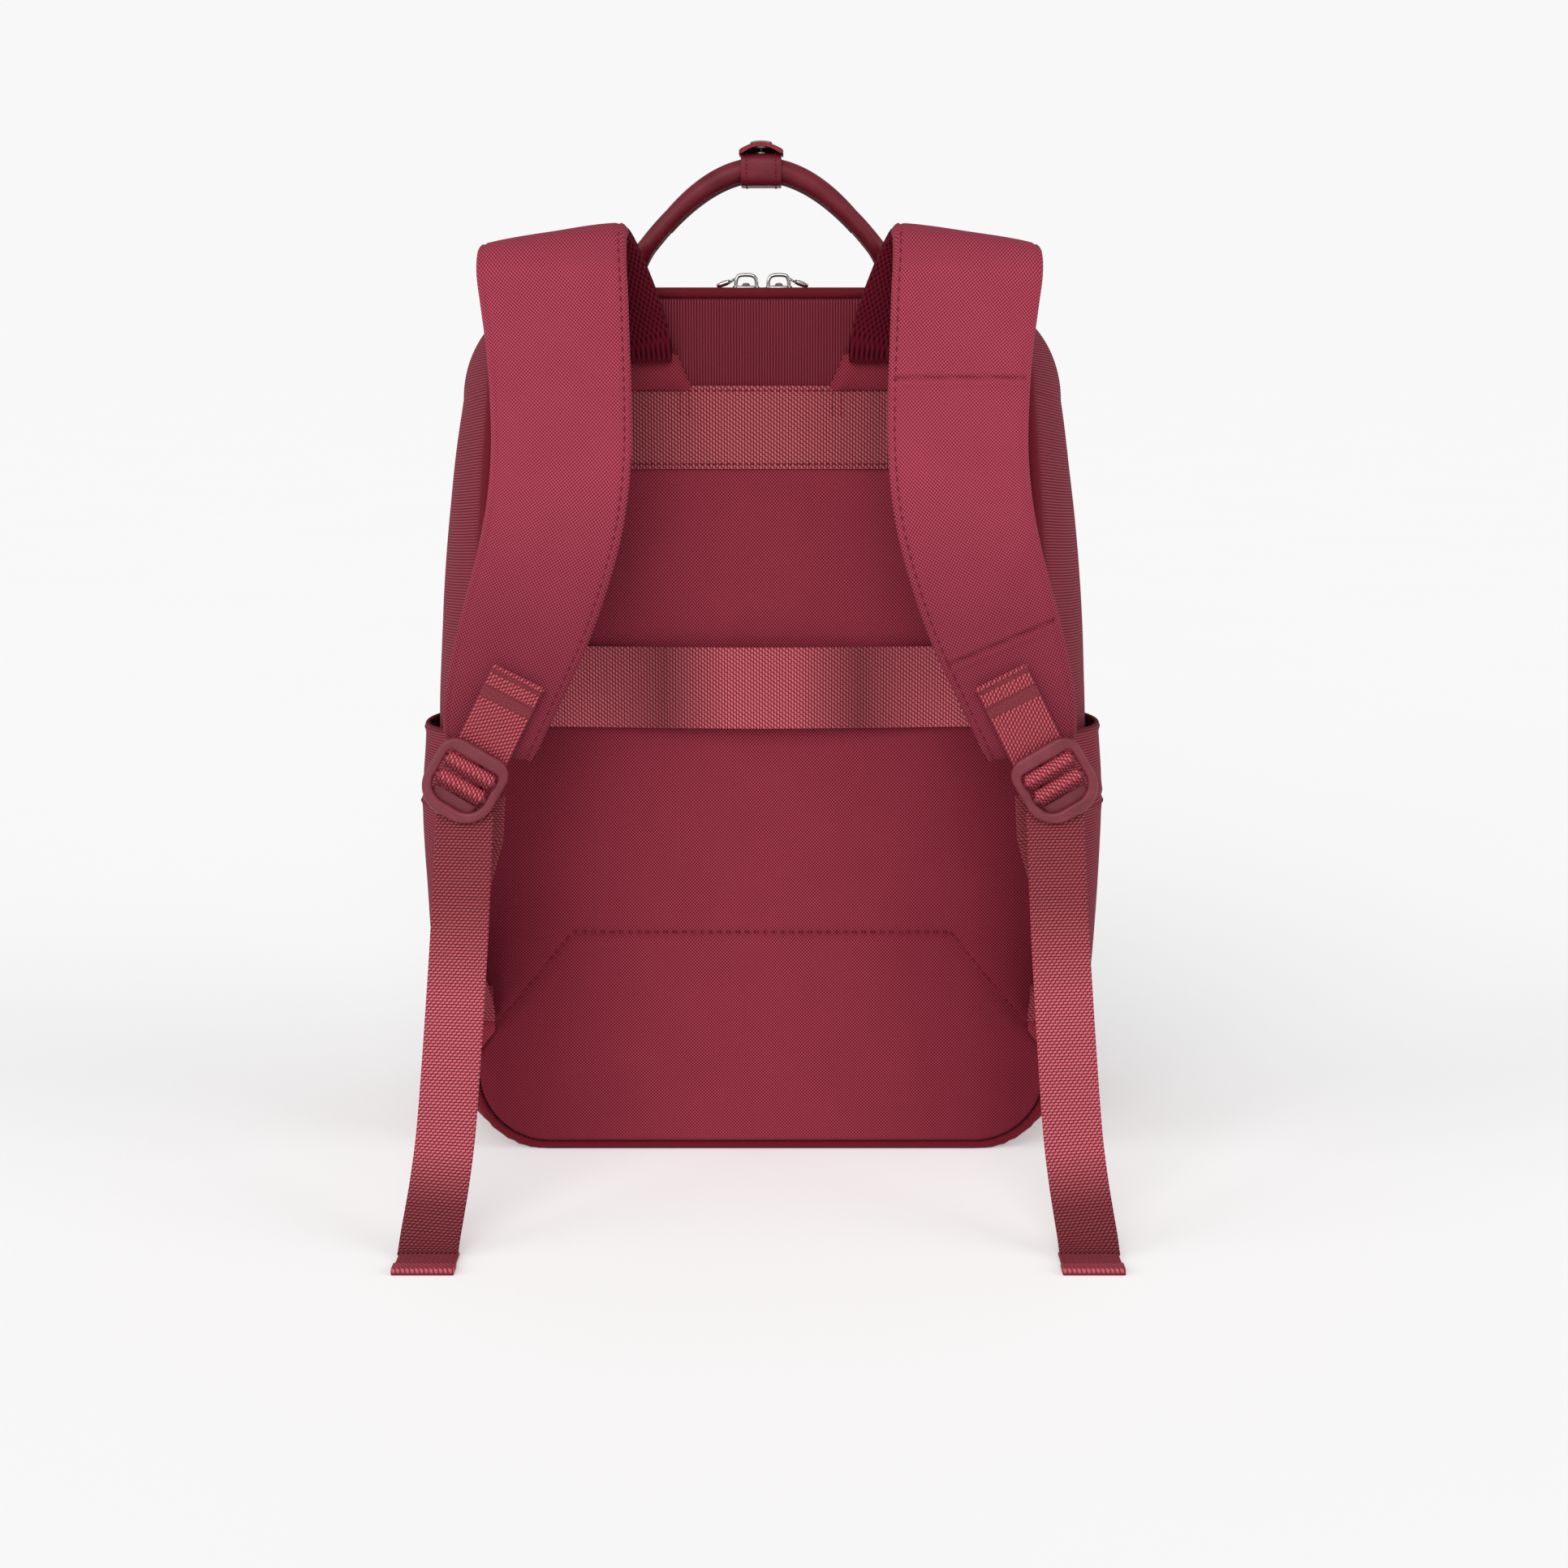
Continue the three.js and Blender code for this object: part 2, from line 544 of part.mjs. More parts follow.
const FLAP = { halfWidth: 10.5, crest: 479.2, arch: 0.03, thick: 1.8, front: 41, back: 72.6 };
function snapFlap() {
  const section = steps(-1, 1, 10).map((t) => t * FLAP.halfWidth);
  const grid = (drop) => section.map((x) => steps(0, 1, 6).map((t) => point(
    x * (t === 0 ? 0.86 : 1),
    mix(FLAP.front, FLAP.back, t),
    FLAP.crest - drop - FLAP.arch * x * x,
  )));
  return sheetBetween(grid(0), grid(FLAP.thick));
}
addPart('snap_flap', snapFlap(), LEATHER);

function turned(profile, x, y, z) {
  const points = profile.map(([radius, height]) => new THREE.Vector2(radius, height));
  const geometry = new THREE.LatheGeometry(points, 16);
  geometry.rotateX(Math.PI / 2);
  return geometry.translate(x, y, z);
}
const SNAP_Y = 51;
addPart('snap_stud', turned([[0, 0], [3.6, 0], [3.6, 0.5], [2, 0.8], [1.8, 2], [0, 2.1]],
  0, SNAP_Y, WRAP.top + 0.3), CHROME);
addPart('snap_cap', turned([[0, 0], [5, 0], [4.7, 0.7], [3, 1.1], [0, 1.2]],
  0, SNAP_Y, FLAP.crest + 0.3), CHROME);
for (const [side, name] of [[-1, 'left'], [1, 'right']]) {
  const patch = addPart(`handle_anchor_${name}`, roundedBox(30, 22, 2.4, 6), LEATHER);
  patch.position.set(side * (HANDLE.halfSpan + 5), HANDLE.y, WIDE_OUTLINE.height + 0.2);
}

// ---- shoulder straps ----
// One continuous padded strip from its anchor over the crest to its lower end; y is in front of the back panel.
const STRAP_PATH = [
  { at: [73, -10.4, 382.5], width: 66, level: true },
  { at: [77, -10.6, 394], width: 67 },
  { at: [81.5, -11.2, 406], width: 67 },
  { at: [86, -12.8, 417], width: 67 },
  { at: [90, -17, 425.5], width: 67 },
  { at: [92, -24, 430], width: 67 },
  { at: [92.6, -31.5, 427.5], width: 67 },
  { at: [92.5, -37, 419], width: 67 },
  { at: [91.3, -40.5, 407], width: 66 },
  { at: [89.6, -43.5, 386], width: 64 },
  { at: [88.4, -46, 362], width: 63 },
  { at: [88.4, -48.5, 337], width: 62.5 },
  { at: [91, -51, 312], width: 62 },
  { at: [96.5, -53.5, 288], width: 60.5 },
  { at: [104, -55.5, 264], width: 58 },
  { at: [112.5, -57, 241], width: 53 },
  { at: [119, -58, 223], width: 46 },
  { at: [123.5, -58.6, 209], width: 36 },
];
const CREST = 5; // the station where the rising leg meets the hanging one
const PAD = { thick: 10.6, lining: 2.4, liningGap: 0.8 };
const STRAP_ROLL = 0.15; // the outer edge lies lower at the crest
const CREST_GAP = 0.6;

// The rings of a layer of the left strap: the pad, or the mesh lining on its inner side.
function strapRings(section, thick, lift) {
  const last = STRAP_PATH.length - 1;
  const stations = STRAP_PATH.map((station, i) => {
    const fade = Math.max(0, 1 - Math.abs(i - CREST) / 5);
    const thin = i > last - 2 ? 0.86 : 1;
    return {
      ...station,
      at: [-station.at[0], station.at[1], station.at[2]],
      across: [1, 0, STRAP_ROLL * fade],
      thick: thick * (lift > 0 ? 1 : thin),
      lift: lift > 0 ? lift - (PAD.thick * (1 - thin)) / 2 : 0,
    };
  });
  return ribbonRings(stations, section);
}

function toTheRight(rings) {
  return rings.map((ring) => ring.map((p) => point(-p.x, p.y, p.z)));
}

// The two legs of a layer, parted by a small gap at the crest.
function strapLegs(side, section, thick, lift) {
  const left = strapRings(section, thick, lift);
  const rings = side < 0 ? left : toTheRight(left);
  const along = rings[CREST + 1][0].clone().sub(rings[CREST - 1][0]).normalize();
  const shifted = (by) => rings[CREST].map((p) => p.clone().addScaledVector(along, by));
  const riser = [...rings.slice(0, CREST), shifted(-CREST_GAP)];
  const hanging = [shifted(CREST_GAP), ...rings.slice(CREST + 1)];
  return { riser: loft(riser), hanging: loft(hanging) };
}

const TILT = THREE.MathUtils.degToRad(30.8); // the webbing tab and buckle lean out
const BUCKLE = { x: 130.5, y: -69.2, z: 192.5, width: 34, length: 35, thick: 4.4 };

function ladderLock() {
  const w = BUCKLE.width / 2;
  const h = BUCKLE.length / 2;
  const outline = new THREE.Shape();
  const top = 8.5;
  const low = 14;
  outline.moveTo(-w + low, -h);
  outline.lineTo(w - low, -h);
  outline.absarc(w - low, -h + low, low, -Math.PI / 2, 0);
  outline.lineTo(w, h - top);
  outline.absarc(w - top, h - top, top, 0, Math.PI / 2);
  outline.lineTo(-w + top, h);
  outline.absarc(-w + top, h - top, top, Math.PI / 2, Math.PI);
  outline.lineTo(-w, -h + low);
  outline.absarc(-w + low, -h + low, low, Math.PI, 1.5 * Math.PI);
  for (const [low1, high1, half] of [[6.9, 10.8, 12.6], [-1, 3, 13], [-11.6, -5.2, 10.4]]) {
    const slot = new THREE.Path();
    slot.moveTo(-half, low1);
    slot.lineTo(-half, high1);
    slot.lineTo(half, high1);
    slot.lineTo(half, low1);
    slot.closePath();
    outline.holes.push(slot);
  }
  const bevel = 1.1;
  const geometry = new THREE.ExtrudeGeometry(outline, {
    depth: BUCKLE.thick - 2 * bevel,
    bevelEnabled: true,
    bevelThickness: bevel,
    bevelSize: bevel,
    bevelOffset: -bevel,
    bevelSegments: 2,
    curveSegments: 6,
  });
  geometry.translate(0, 0, -(BUCKLE.thick / 2 - bevel));
  return geometry.rotateX(Math.PI / 2);
}

const TAIL_PATH = [
  [132.6, -67.6, 172.5], [132.9, -71.2, 160], [133.6, -79.5, 135], [134.4, -89.5, 110],
  [135.6, -104, 77], [137, -118.5, 46], [138.6, -129, 28], [140, -137.5, 16.5],
  [141, -143.5, 9], [141.4, -147, 5], [141.5, -150, 2.6],
];
const HEM = { length: 22.55, width: 27, thick: 3 };
const LOWER_WEBBING_PATH = [
  [131, -3.6, 80], [132.4, -13, 101], [132.6, -27, 126], [131, -42, 150],
  [128.6, -53.5, 172], [127.4, -58, 185],
];

function webbingAlong(path, side, width = WEBBING_WIDTH) {
  return ribbon(path.map(([x, y, z]) => ({ at: [side * x, y, z], across: [1, 0, 0], width, thick: WEBBING })));
}

const TAB = { start: [107, 240], end: [126.2, 201.4], y: -65.9 };
function strapTab(side) {
  const across = [Math.cos(TILT), 0, side * Math.sin(TILT)];
  return ribbon(steps(0, 1, 4).map((t) => ({
    at: [side * mix(TAB.start[0], TAB.end[0], t), TAB.y, mix(TAB.start[1], TAB.end[1], t)],
    across,
    width: WEBBING_WIDTH,
    thick: WEBBING,
  })));
}

function anchorTab(side) {
  const shape = new THREE.Shape();
  shape.moveTo(side * 34, 366.9);
  shape.lineTo(side * 108, 366.9);
  shape.lineTo(side * 104, 380.5);
  shape.lineTo(side * 39.5, 380.5);
  shape.closePath();
  const geometry = new THREE.ExtrudeGeometry(shape, { depth: 4, bevelEnabled: false });
  return geometry.rotateX(Math.PI / 2).translate(0, -GAP, 0);
}

function webbingWing(side) {
  const shape = new THREE.Shape();
  shape.moveTo(side * 133, 42);
  shape.lineTo(side * 133.5, 82);
  shape.lineTo(side * 118, 79);
  shape.lineTo(side * 121, 60);
  shape.closePath();
  const geometry = new THREE.ExtrudeGeometry(shape, { depth: 2.4, bevelEnabled: false });
  return geometry.rotateX(Math.PI / 2).translate(0, -GAP, 0);
}

for (const [side, name] of [[-1, 'left'], [1, 'right']]) {
  addPart(`side_pocket_${name}`, sidePocket(side), FABRIC);
  addPart(`strap_anchor_${name}`, anchorTab(side), FABRIC);
  addPart(`webbing_wing_${name}`, webbingWing(side), FABRIC);

  const pad = strapLegs(side, PAD_SECTION, PAD.thick, 0);
  const lining = strapLegs(side, LINING_SECTION, PAD.lining, (PAD.thick + PAD.lining) / 2 + PAD.liningGap);
  addPart(`riser_pad_${name}`, pad.riser, STRAP_FABRIC);
  addPart(`riser_lining_${name}`, lining.riser, MESH_FABRIC);
  addPart(`strap_pad_${name}`, pad.hanging, STRAP_FABRIC);
  addPart(`strap_lining_${name}`, lining.hanging, MESH_FABRIC);
  addPart(`strap_tab_${name}`, strapTab(side), WEBBING_FINISH);

  const lock = addPart(`ladder_lock_${name}`, ladderLock(), WINE_PLASTIC);
  lock.position.set(side * BUCKLE.x, BUCKLE.y, BUCKLE.z);
  lock.rotation.y = -side * TILT;

  addPart(`lower_webbing_${name}`, webbingAlong(LOWER_WEBBING_PATH, side), WEBBING_FINISH);
  addPart(`tail_${name}`, webbingAlong(TAIL_PATH, side), WEBBING_FINISH);
  const [endX, endY] = TAIL_PATH[TAIL_PATH.length - 1];
  const hem = addPart(`tail_hem_${name}`, roundedBox(HEM.width, HEM.length, HEM.thick, 1), WEBBING_FINISH);
  hem.position.set(side * (endX - 0.4), endY - 1.3 - HEM.length / 2, 0.05);
}

export default backpack;
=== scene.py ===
import math

import bmesh
import bpy
import numpy as np
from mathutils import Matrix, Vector, noise


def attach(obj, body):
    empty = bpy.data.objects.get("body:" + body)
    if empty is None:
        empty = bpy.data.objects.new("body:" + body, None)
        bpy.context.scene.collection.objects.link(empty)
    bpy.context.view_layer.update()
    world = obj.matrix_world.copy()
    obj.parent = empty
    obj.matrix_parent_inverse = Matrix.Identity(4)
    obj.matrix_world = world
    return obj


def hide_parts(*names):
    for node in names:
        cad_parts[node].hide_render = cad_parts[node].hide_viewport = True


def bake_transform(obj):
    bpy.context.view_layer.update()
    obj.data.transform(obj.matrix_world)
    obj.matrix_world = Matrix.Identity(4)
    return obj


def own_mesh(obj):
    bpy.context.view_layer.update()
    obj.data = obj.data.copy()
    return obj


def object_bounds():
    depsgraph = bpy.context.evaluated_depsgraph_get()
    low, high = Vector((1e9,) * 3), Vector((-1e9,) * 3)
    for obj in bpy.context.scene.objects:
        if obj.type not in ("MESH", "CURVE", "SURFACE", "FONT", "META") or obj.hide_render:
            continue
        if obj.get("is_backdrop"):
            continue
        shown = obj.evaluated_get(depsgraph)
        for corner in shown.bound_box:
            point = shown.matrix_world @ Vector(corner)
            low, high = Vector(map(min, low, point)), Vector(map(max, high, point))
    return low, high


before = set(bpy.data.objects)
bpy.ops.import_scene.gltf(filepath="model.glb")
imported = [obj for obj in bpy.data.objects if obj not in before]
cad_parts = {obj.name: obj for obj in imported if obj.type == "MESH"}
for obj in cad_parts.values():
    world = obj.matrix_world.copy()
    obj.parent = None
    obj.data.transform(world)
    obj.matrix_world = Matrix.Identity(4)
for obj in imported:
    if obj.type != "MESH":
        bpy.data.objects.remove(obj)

cad_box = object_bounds()

# Lengths are in millimetres. The model's y = 0 is the back panel's face, 9 mm in front of the row's y = 0.
MM = 0.001
DEPTH_SHIFT = 9
SKIN = 3
GAP = 0.35
LOWEST = 0.1
REAR_OUTLINE = {"base": 140.5, "top": 124, "height": 410.2, "base_radius": 38, "top_radius": 46, "bow": 3}
WIDE_OUTLINE = {"base": 153, "top": 147, "height": 410, "base_radius": 36, "top_radius": 52, "bow": 12}
PANEL_DEPTH = 8
WIDEST_Y = 90
ZIP_Y = 112
TAPE_WIDTH = 8.7
FRONT_Y = 145
FRONT_ROUND = 20
FOLD_SHARE = 0.27
BAND_WIDTH = 38
WEBBING_WIDTH = 25
WEBBING = 1.7
BASE_FLAT_END, BASE_CORNER_END, SIDE_END, TOP_CORNER_END = 0.16, 0.26, 0.74, 0.86
ACROSS_X, ACROSS_Y, ACROSS_Z = np.eye(3)

# The webbing's weave.
ROW_PITCH = 1.35
STROKE_PITCH = 2
WHITE = (1.0, 1.0, 1.0)


# ---- materials ----
class Look:
    """A Principled material whose pattern is worked out by nodes from the cloth's own coordinates, in mm."""

    def __init__(self, name, roughness, metallic=0.0, sheen=0.0, coat=0.0, specular=0.5):
        self.material = bpy.data.materials.new(name)
        self.material.use_nodes = True
        self.tree = self.material.node_tree
        self.shader = self.tree.nodes["Principled BSDF"]
        settings = {
            "Roughness": roughness, "Metallic": metallic, "Specular IOR Level": specular,
            "Sheen Weight": sheen, "Sheen Roughness": 0.45, "Sheen Tint": (1.0, 0.45, 0.52, 1.0),
            "Coat Weight": coat, "Coat Roughness": 0.25,
        }
        for socket, value in settings.items():
            self.shader.inputs[socket].default_value = value

    def node(self, kind, *values, sockets=None, **settings):
        """A node with its settings, and its inputs filled by numbers or by other nodes' outputs."""
        made = self.tree.nodes.new(kind)
        for key, value in settings.items():
            setattr(made, key, value)
        for socket, value in zip(sockets or range(len(values)), values):
            if isinstance(value, (int, float)):
                made.inputs[socket].default_value = value
            else:
                self.tree.links.new(value, made.inputs[socket])
        return made

    def math(self, operation, *values, clamp=False):
        return self.node("ShaderNodeMath", *values, operation=operation, use_clamp=clamp).outputs[0]

    def scaled(self, value, by, plus=0.0):
        return self.math("MULTIPLY_ADD", value, by, plus)

    def cloth(self):
        """The cloth's u across the piece and v along it, and both as one vector."""
        uv = self.node("ShaderNodeUVMap", uv_map="cloth").outputs[0]
        parts = self.node("ShaderNodeSeparateXYZ", uv)
        return parts.outputs[0], parts.outputs[1], uv

    def place(self, output="Object"):
        """The point in the object's own space, in metres, as x, y, z and one vector."""
        point = self.node("ShaderNodeTexCoord").outputs[output]
        return (*self.node("ShaderNodeSeparateXYZ", point).outputs, point)

    def wave(self, value, period):
        return self.math("COSINE", self.scaled(value, 2 * math.pi / period))

    def noise(self, vector, scale, detail=2.0, roughness=0.5):
        made = self.node("ShaderNodeTexNoise", vector, scale, detail, roughness,
                         sockets=("Vector", "Scale", "Detail", "Roughness"))
        return made.outputs["Fac"]

    def mottled(self, level, vector, scale, detail, amount, clamp=True):
        """A level made uneven by noise."""
        return self.math("ADD", level, self.scaled(self.noise(vector, scale, detail), amount, -amount / 2),
                         clamp=clamp)

    def ramp(self, value, stops):
        made = self.node("ShaderNodeValToRGB", value)
        elements = made.color_ramp.elements
        while len(elements) < len(stops):
            elements.new(0.5)
        for element, (position, colour) in zip(elements, stops):
            element.position = position
            element.color = (*colour, 1.0)
        return made.outputs[0]

    def mix(self, share, first, second, blend="MIX"):
        factor, a, b, result = 0, 6, 7, 2
        made = self.node("ShaderNodeMix", share, first, second, sockets=(factor, a, b), data_type="RGBA",
                         blend_type=blend)
        return made.outputs[result]

    def tinted(self, colour, value, stops):
        """A colour multiplied by the tone that a ramp gives a value."""
        return self.mix(1.0, colour, self.ramp(value, stops), "MULTIPLY")

    def colour(self, output):
        self.tree.links.new(output, self.shader.inputs["Base Color"])

    def finish(self, colour, pattern, change, rough, height=None, depth=0.0, strength=1.0):
        """Joins the colour, a roughness that changes with a pattern, and a bump whose depth is in metres."""
        self.colour(colour)
        self.tree.links.new(self.scaled(pattern, change, rough), self.shader.inputs["Roughness"])
        if height:
            names = ("Strength", "Distance", "Height")
            bump = self.node("ShaderNodeBump", strength, depth, height, sockets=names)
            self.tree.links.new(bump.outputs[0], self.shader.inputs["Normal"])
        return self.material


def woven(name, light, dark, across=1.5, along=0.8, ribs=0.0, shade=None, upright=False):
    """Plain weave: staggered nubs, with the rows showing as ribs where the cloth has them."""
    look = Look(name, 0.8, sheen=0.06, specular=0.08)
    u, v, uv = look.cloth()
    if upright:
        u, v = v, u
    nubs = look.math("MULTIPLY", look.wave(u, across), look.wave(v, 2 * along))
    height = look.math("ADD", look.scaled(nubs, 1 - ribs), look.scaled(look.wave(v, along), ribs))
    patchy = look.mottled(look.scaled(height, 0.5, 0.5), uv, 0.035, 3.0, 0.1, clamp=False)
    tone = look.mottled(patchy, uv, 0.9, 1.0, 0.1)
    colour = look.ramp(tone, [(0.08, dark), (0.85, light)])
    # Painted shade, where one is given, is multiplied into the weave's colour.
    if shade:
        colour = shade(look, colour)
    return look.finish(colour, tone, -0.12, 0.88, height, 0.00016, 0.8)


def painted_side_shade(look, colour):
    """Painted shade: the panel's colour is darker towards its sides and a little paler along its middle, as if
    lit there.
    """
    half_width = 0.125
    far = look.scaled(look.math("ABSOLUTE", look.place()[0]), 1 / half_width)
    fall = look.math("POWER", look.math("MINIMUM", far, 1.0), 1.6)
    return look.tinted(colour, fall, [(0.0, WHITE), (1.0, (0.6, 0.43, 0.5))])


def painted_low_shade(look, colour):
    """Painted shade: the strap's colour is darker on its lower half, which curls under, and a little darker at
    its top.
    """
    full_height = 0.44
    height = look.math("DIVIDE", look.place()[2], full_height)
    return look.tinted(colour, height, [(0.46, (0.58, 0.56, 0.56)), (0.6, (0.74, 0.73, 0.73)), (0.74, WHITE),
                                        (0.95, WHITE), (1.0, (0.8, 0.79, 0.79))])


def webbing(name, light, dark, tacks=(), painted_light=None, lengthwise=False):
    """Webbing: rows of slanted strokes in columns, and bands of dense thread where it is sewn down."""
    look = Look(name, 0.55, sheen=0.05, specular=0.2)
    u, v, uv = look.cloth()
    rows, strokes = (u, v) if lengthwise else (v, u)
    rows = look.math("DIVIDE", rows, ROW_PITCH)
    row = look.math("FLOOR", rows)
    inside = look.math("SUBTRACT", rows, row)
    slant = look.math("ADD", look.scaled(inside, 0.42), look.scaled(row, 0.5))
    stroke = look.wave(look.math("ADD", look.math("DIVIDE", strokes, STROKE_PITCH), slant), 1.0)
    round_top = look.math("SINE", look.scaled(inside, math.pi))
    height = look.math("MULTIPLY", look.math("POWER", look.scaled(stroke, 0.5, 0.5), 0.45), round_top)
    colour = look.ramp(look.mottled(height, uv, 1.3, 1.0, 0.3), [(0.15, dark), (0.7, light)])
    for start, end in tacks:
        edge = look.math("MULTIPLY", look.math("GREATER_THAN", v, start), look.math("LESS_THAN", v, end))
        sewn = look.ramp(look.noise(uv, 2.2), [(0.35, dark), (0.62, tuple(c * 0.5 for c in light))])
        colour = look.mix(edge, colour, sewn)
    # Painted shade and sheen: a ramp along the webbing's length lightens and darkens stretches of it.
    if painted_light:
        length, stops = painted_light
        colour = look.tinted(colour, look.math("DIVIDE", v, length), stops)
    return look.finish(colour, height, -0.15, 0.62, height, 0.0003, 0.9)


def twill_tape(name, light, dark, pitch=1.15):
    """Narrow tape with a herringbone weave."""
    look = Look(name, 0.7, sheen=0.03, specular=0.06)
    u, v, uv = look.cloth()
    slope = look.math("ADD", look.math("ABSOLUTE", u), v)
    height = look.scaled(look.wave(slope, pitch), 0.5, 0.5)
    colour = look.ramp(look.mottled(height, uv, 1.2, 1.0, 0.3), [(0.1, dark), (0.9, light)])
    return look.finish(colour, height, -0.1, 0.75, height, 0.0002, 0.8)


def spacer_mesh(name, light, dark):
    """Knitted mesh: rows of oval holes between thick loops."""
    look = Look(name, 0.9, sheen=0.04, specular=0.05)
    u, v, uv = look.cloth()
    level = look.scaled(look.math("MULTIPLY", look.wave(u, 2.3), look.wave(v, 3.4)), 0.5, 0.5)
    tone = look.mottled(look.math("POWER", level, 0.6), uv, 1.6, 2.0, 0.5)
    return look.finish(look.ramp(tone, [(0.15, dark), (0.9, light)]), level, -0.1, 0.95, level, 0.0006)


def leather(name, light, dark):
    look = Look(name, 0.36, coat=0.05, specular=0.18)
    point = look.place()[3]
    voronoi = look.node("ShaderNodeTexVoronoi", point, 1500, sockets=("Vector", "Scale"), feature="SMOOTH_F1")
    grain = voronoi.outputs["Distance"]
    colour = look.ramp(look.noise(point, 90, 3.0), [(0.3, dark), (0.72, light)])
    return look.finish(colour, grain, 0.25, 0.36, grain, 0.0001, 0.35)


def moulded(name, light, dark):
    """Satin moulded plastic with a fine eroded texture."""
    look = Look(name, 0.38, coat=0.04, specular=0.35)
    point = look.place()[3]
    pits = look.noise(point, 3800, 2.0, 0.6)
    colour = look.ramp(look.noise(point, 120), [(0.3, dark), (0.75, light)])
    return look.finish(colour, pits, 0.3, 0.28, pits, 0.00005, 0.5)


def chrome_with_painted_reflection(name, colour):
    """Chrome with a painted reflection: its colour follows the way each face looks, as if a room stood round
    it.
    """
    look = Look(name, 0.1, metallic=1.0)
    marks = look.noise(look.place()[3], 420, 3.0)
    # Painted reflection: the colour is picked from a ramp by how far each face points up.
    rise = look.scaled(look.place("Normal")[2], 0.5, 0.5)
    rise = look.math("ADD", rise, look.scaled(marks, 0.1, -0.05), clamp=True)
    painted_light = [(0.0, 0.12), (0.3, 0.2), (0.44, 0.75), (0.52, 0.9), (0.62, 0.25), (0.8, 0.5), (1.0, 1.0)]
    painted_shades = look.ramp(rise, [(place, tuple(c * tone for c in colour)) for place, tone in painted_light])
    return look.finish(painted_shades, marks, 0.16, 0.04)


def thread(name, light, dark):
    look = Look(name, 0.6, sheen=0.04, specular=0.12)
    twist = look.noise(look.place()[3], 2600, 1.0)
    return look.finish(look.ramp(twist, [(0.35, dark), (0.65, light)]), twist, 0.2, 0.5)


def plain_weave_in_space(name, light, dark, pitch):
    """Cloth or board for the inside, patterned from its own position."""
    look = Look(name, 0.85, specular=0.1)
    x, _, z, point = look.place()
    height = look.math("MULTIPLY", look.wave(x, pitch * MM), look.wave(z, pitch * MM))
    level = look.scaled(height, 0.5, 0.5)
    colour = look.ramp(look.mottled(level, point, 40, 2.0, 0.4), [(0.2, dark), (0.8, light)])
    return look.finish(colour, level, -0.1, 0.9, height, 0.0002, 0.6)


PANEL = woven("panel_weave", (0.41, 0.05, 0.082), (0.07, 0.003, 0.009), shade=painted_side_shade)
TOP_RIBS = woven("top_ribs", (0.25, 0.033, 0.05), (0.05, 0.003, 0.008), across=0.8, along=1.3, ribs=0.75,
                 upright=True)
STRAP_WEAVE = woven("strap_weave", (0.50, 0.073, 0.118), (0.12, 0.006, 0.018), shade=painted_low_shade)
RIBBED = woven("ribbed_weave", (0.31, 0.042, 0.066), (0.07, 0.004, 0.010), across=1.5, along=1.35, ribs=0.8)
BASE_WEAVE = woven("base_weave", (0.24, 0.02, 0.038), (0.08, 0.004, 0.010), across=1.2, along=1.1, ribs=0.5)
TAB_WEAVE = woven("tab_weave", (0.37, 0.041, 0.066), (0.06, 0.003, 0.008))
# Painted sheen and shade along the upper band and the trolley band: lighter and darker stretches along their
# length.
UPPER_PAINTED_SHEEN = (228, [(0.0, (0.85, 0.82, 0.82)), (0.27, (0.74, 0.69, 0.69)), (0.44, WHITE), (0.56, WHITE),
                     (0.73, (0.74, 0.69, 0.69)), (1.0, (0.85, 0.82, 0.82))])
TROLLEY_PAINTED_SHEEN = (253, [(0.0, (0.7, 0.65, 0.65)), (0.15, WHITE), (0.32, (0.43, 0.33, 0.35)),
                       (0.44, (0.98, 0.97, 0.97)), (0.56, (0.98, 0.97, 0.97)), (0.68, (0.43, 0.33, 0.35)),
                       (0.85, WHITE), (1.0, (0.7, 0.65, 0.65))])
UPPER_WEBBING = webbing("upper_webbing", (0.62, 0.125, 0.155), (0.10, 0.004, 0.010), painted_light=UPPER_PAINTED_SHEEN)
TROLLEY_WEBBING = webbing("trolley_webbing", (0.72, 0.145, 0.185), (0.13, 0.006, 0.014), painted_light=TROLLEY_PAINTED_SHEEN)
# Painted shade along the tail: darker near the buckle and where it curves near the floor, lighter in between.
TAIL_PAINTED_SHADE = (200, [(0.0, (0.5, 0.36, 0.38)), (0.2, (0.58, 0.44, 0.46)), (0.42, WHITE), (0.76, WHITE),
                    (0.88, (0.45, 0.32, 0.34)), (1.0, (0.36, 0.24, 0.25))])
TAIL = webbing("tail_webbing", (0.70, 0.145, 0.185), (0.12, 0.005, 0.013), painted_light=TAIL_PAINTED_SHADE)
TAB_TACKS = (1.4, 4.6), (9.5, 16.5)
TAB = webbing("tab_webbing", (0.56, 0.085, 0.115), (0.09, 0.004, 0.010), tacks=TAB_TACKS, lengthwise=True)
TAB_PLAIN = webbing("dark_webbing", (0.34, 0.042, 0.06), (0.07, 0.003, 0.007))
# Painted shade on the rolls round the buckle's bars: darker on their lower half.
ROLL_PAINTED_SHADE = (20.8, [(0.0, WHITE), (0.5, WHITE), (0.7, (0.35, 0.28, 0.28)), (0.94, (0.45, 0.38, 0.38)),
                     (1.0, (0.85, 0.83, 0.83))])
ROLL_WEBBING = webbing("roll_webbing", (0.66, 0.10, 0.14), (0.10, 0.005, 0.011), painted_light=ROLL_PAINTED_SHADE,
                       lengthwise=True)
HEM = webbing("hem_webbing", (0.52, 0.085, 0.115), (0.14, 0.012, 0.02), tacks=((8.5, 30),))
TAPE = twill_tape("binding_tape", (0.21, 0.016, 0.028), (0.08, 0.004, 0.008))
ZIP_TAPE = twill_tape("zip_tape", (0.17, 0.016, 0.03), (0.07, 0.005, 0.011), 0.9)
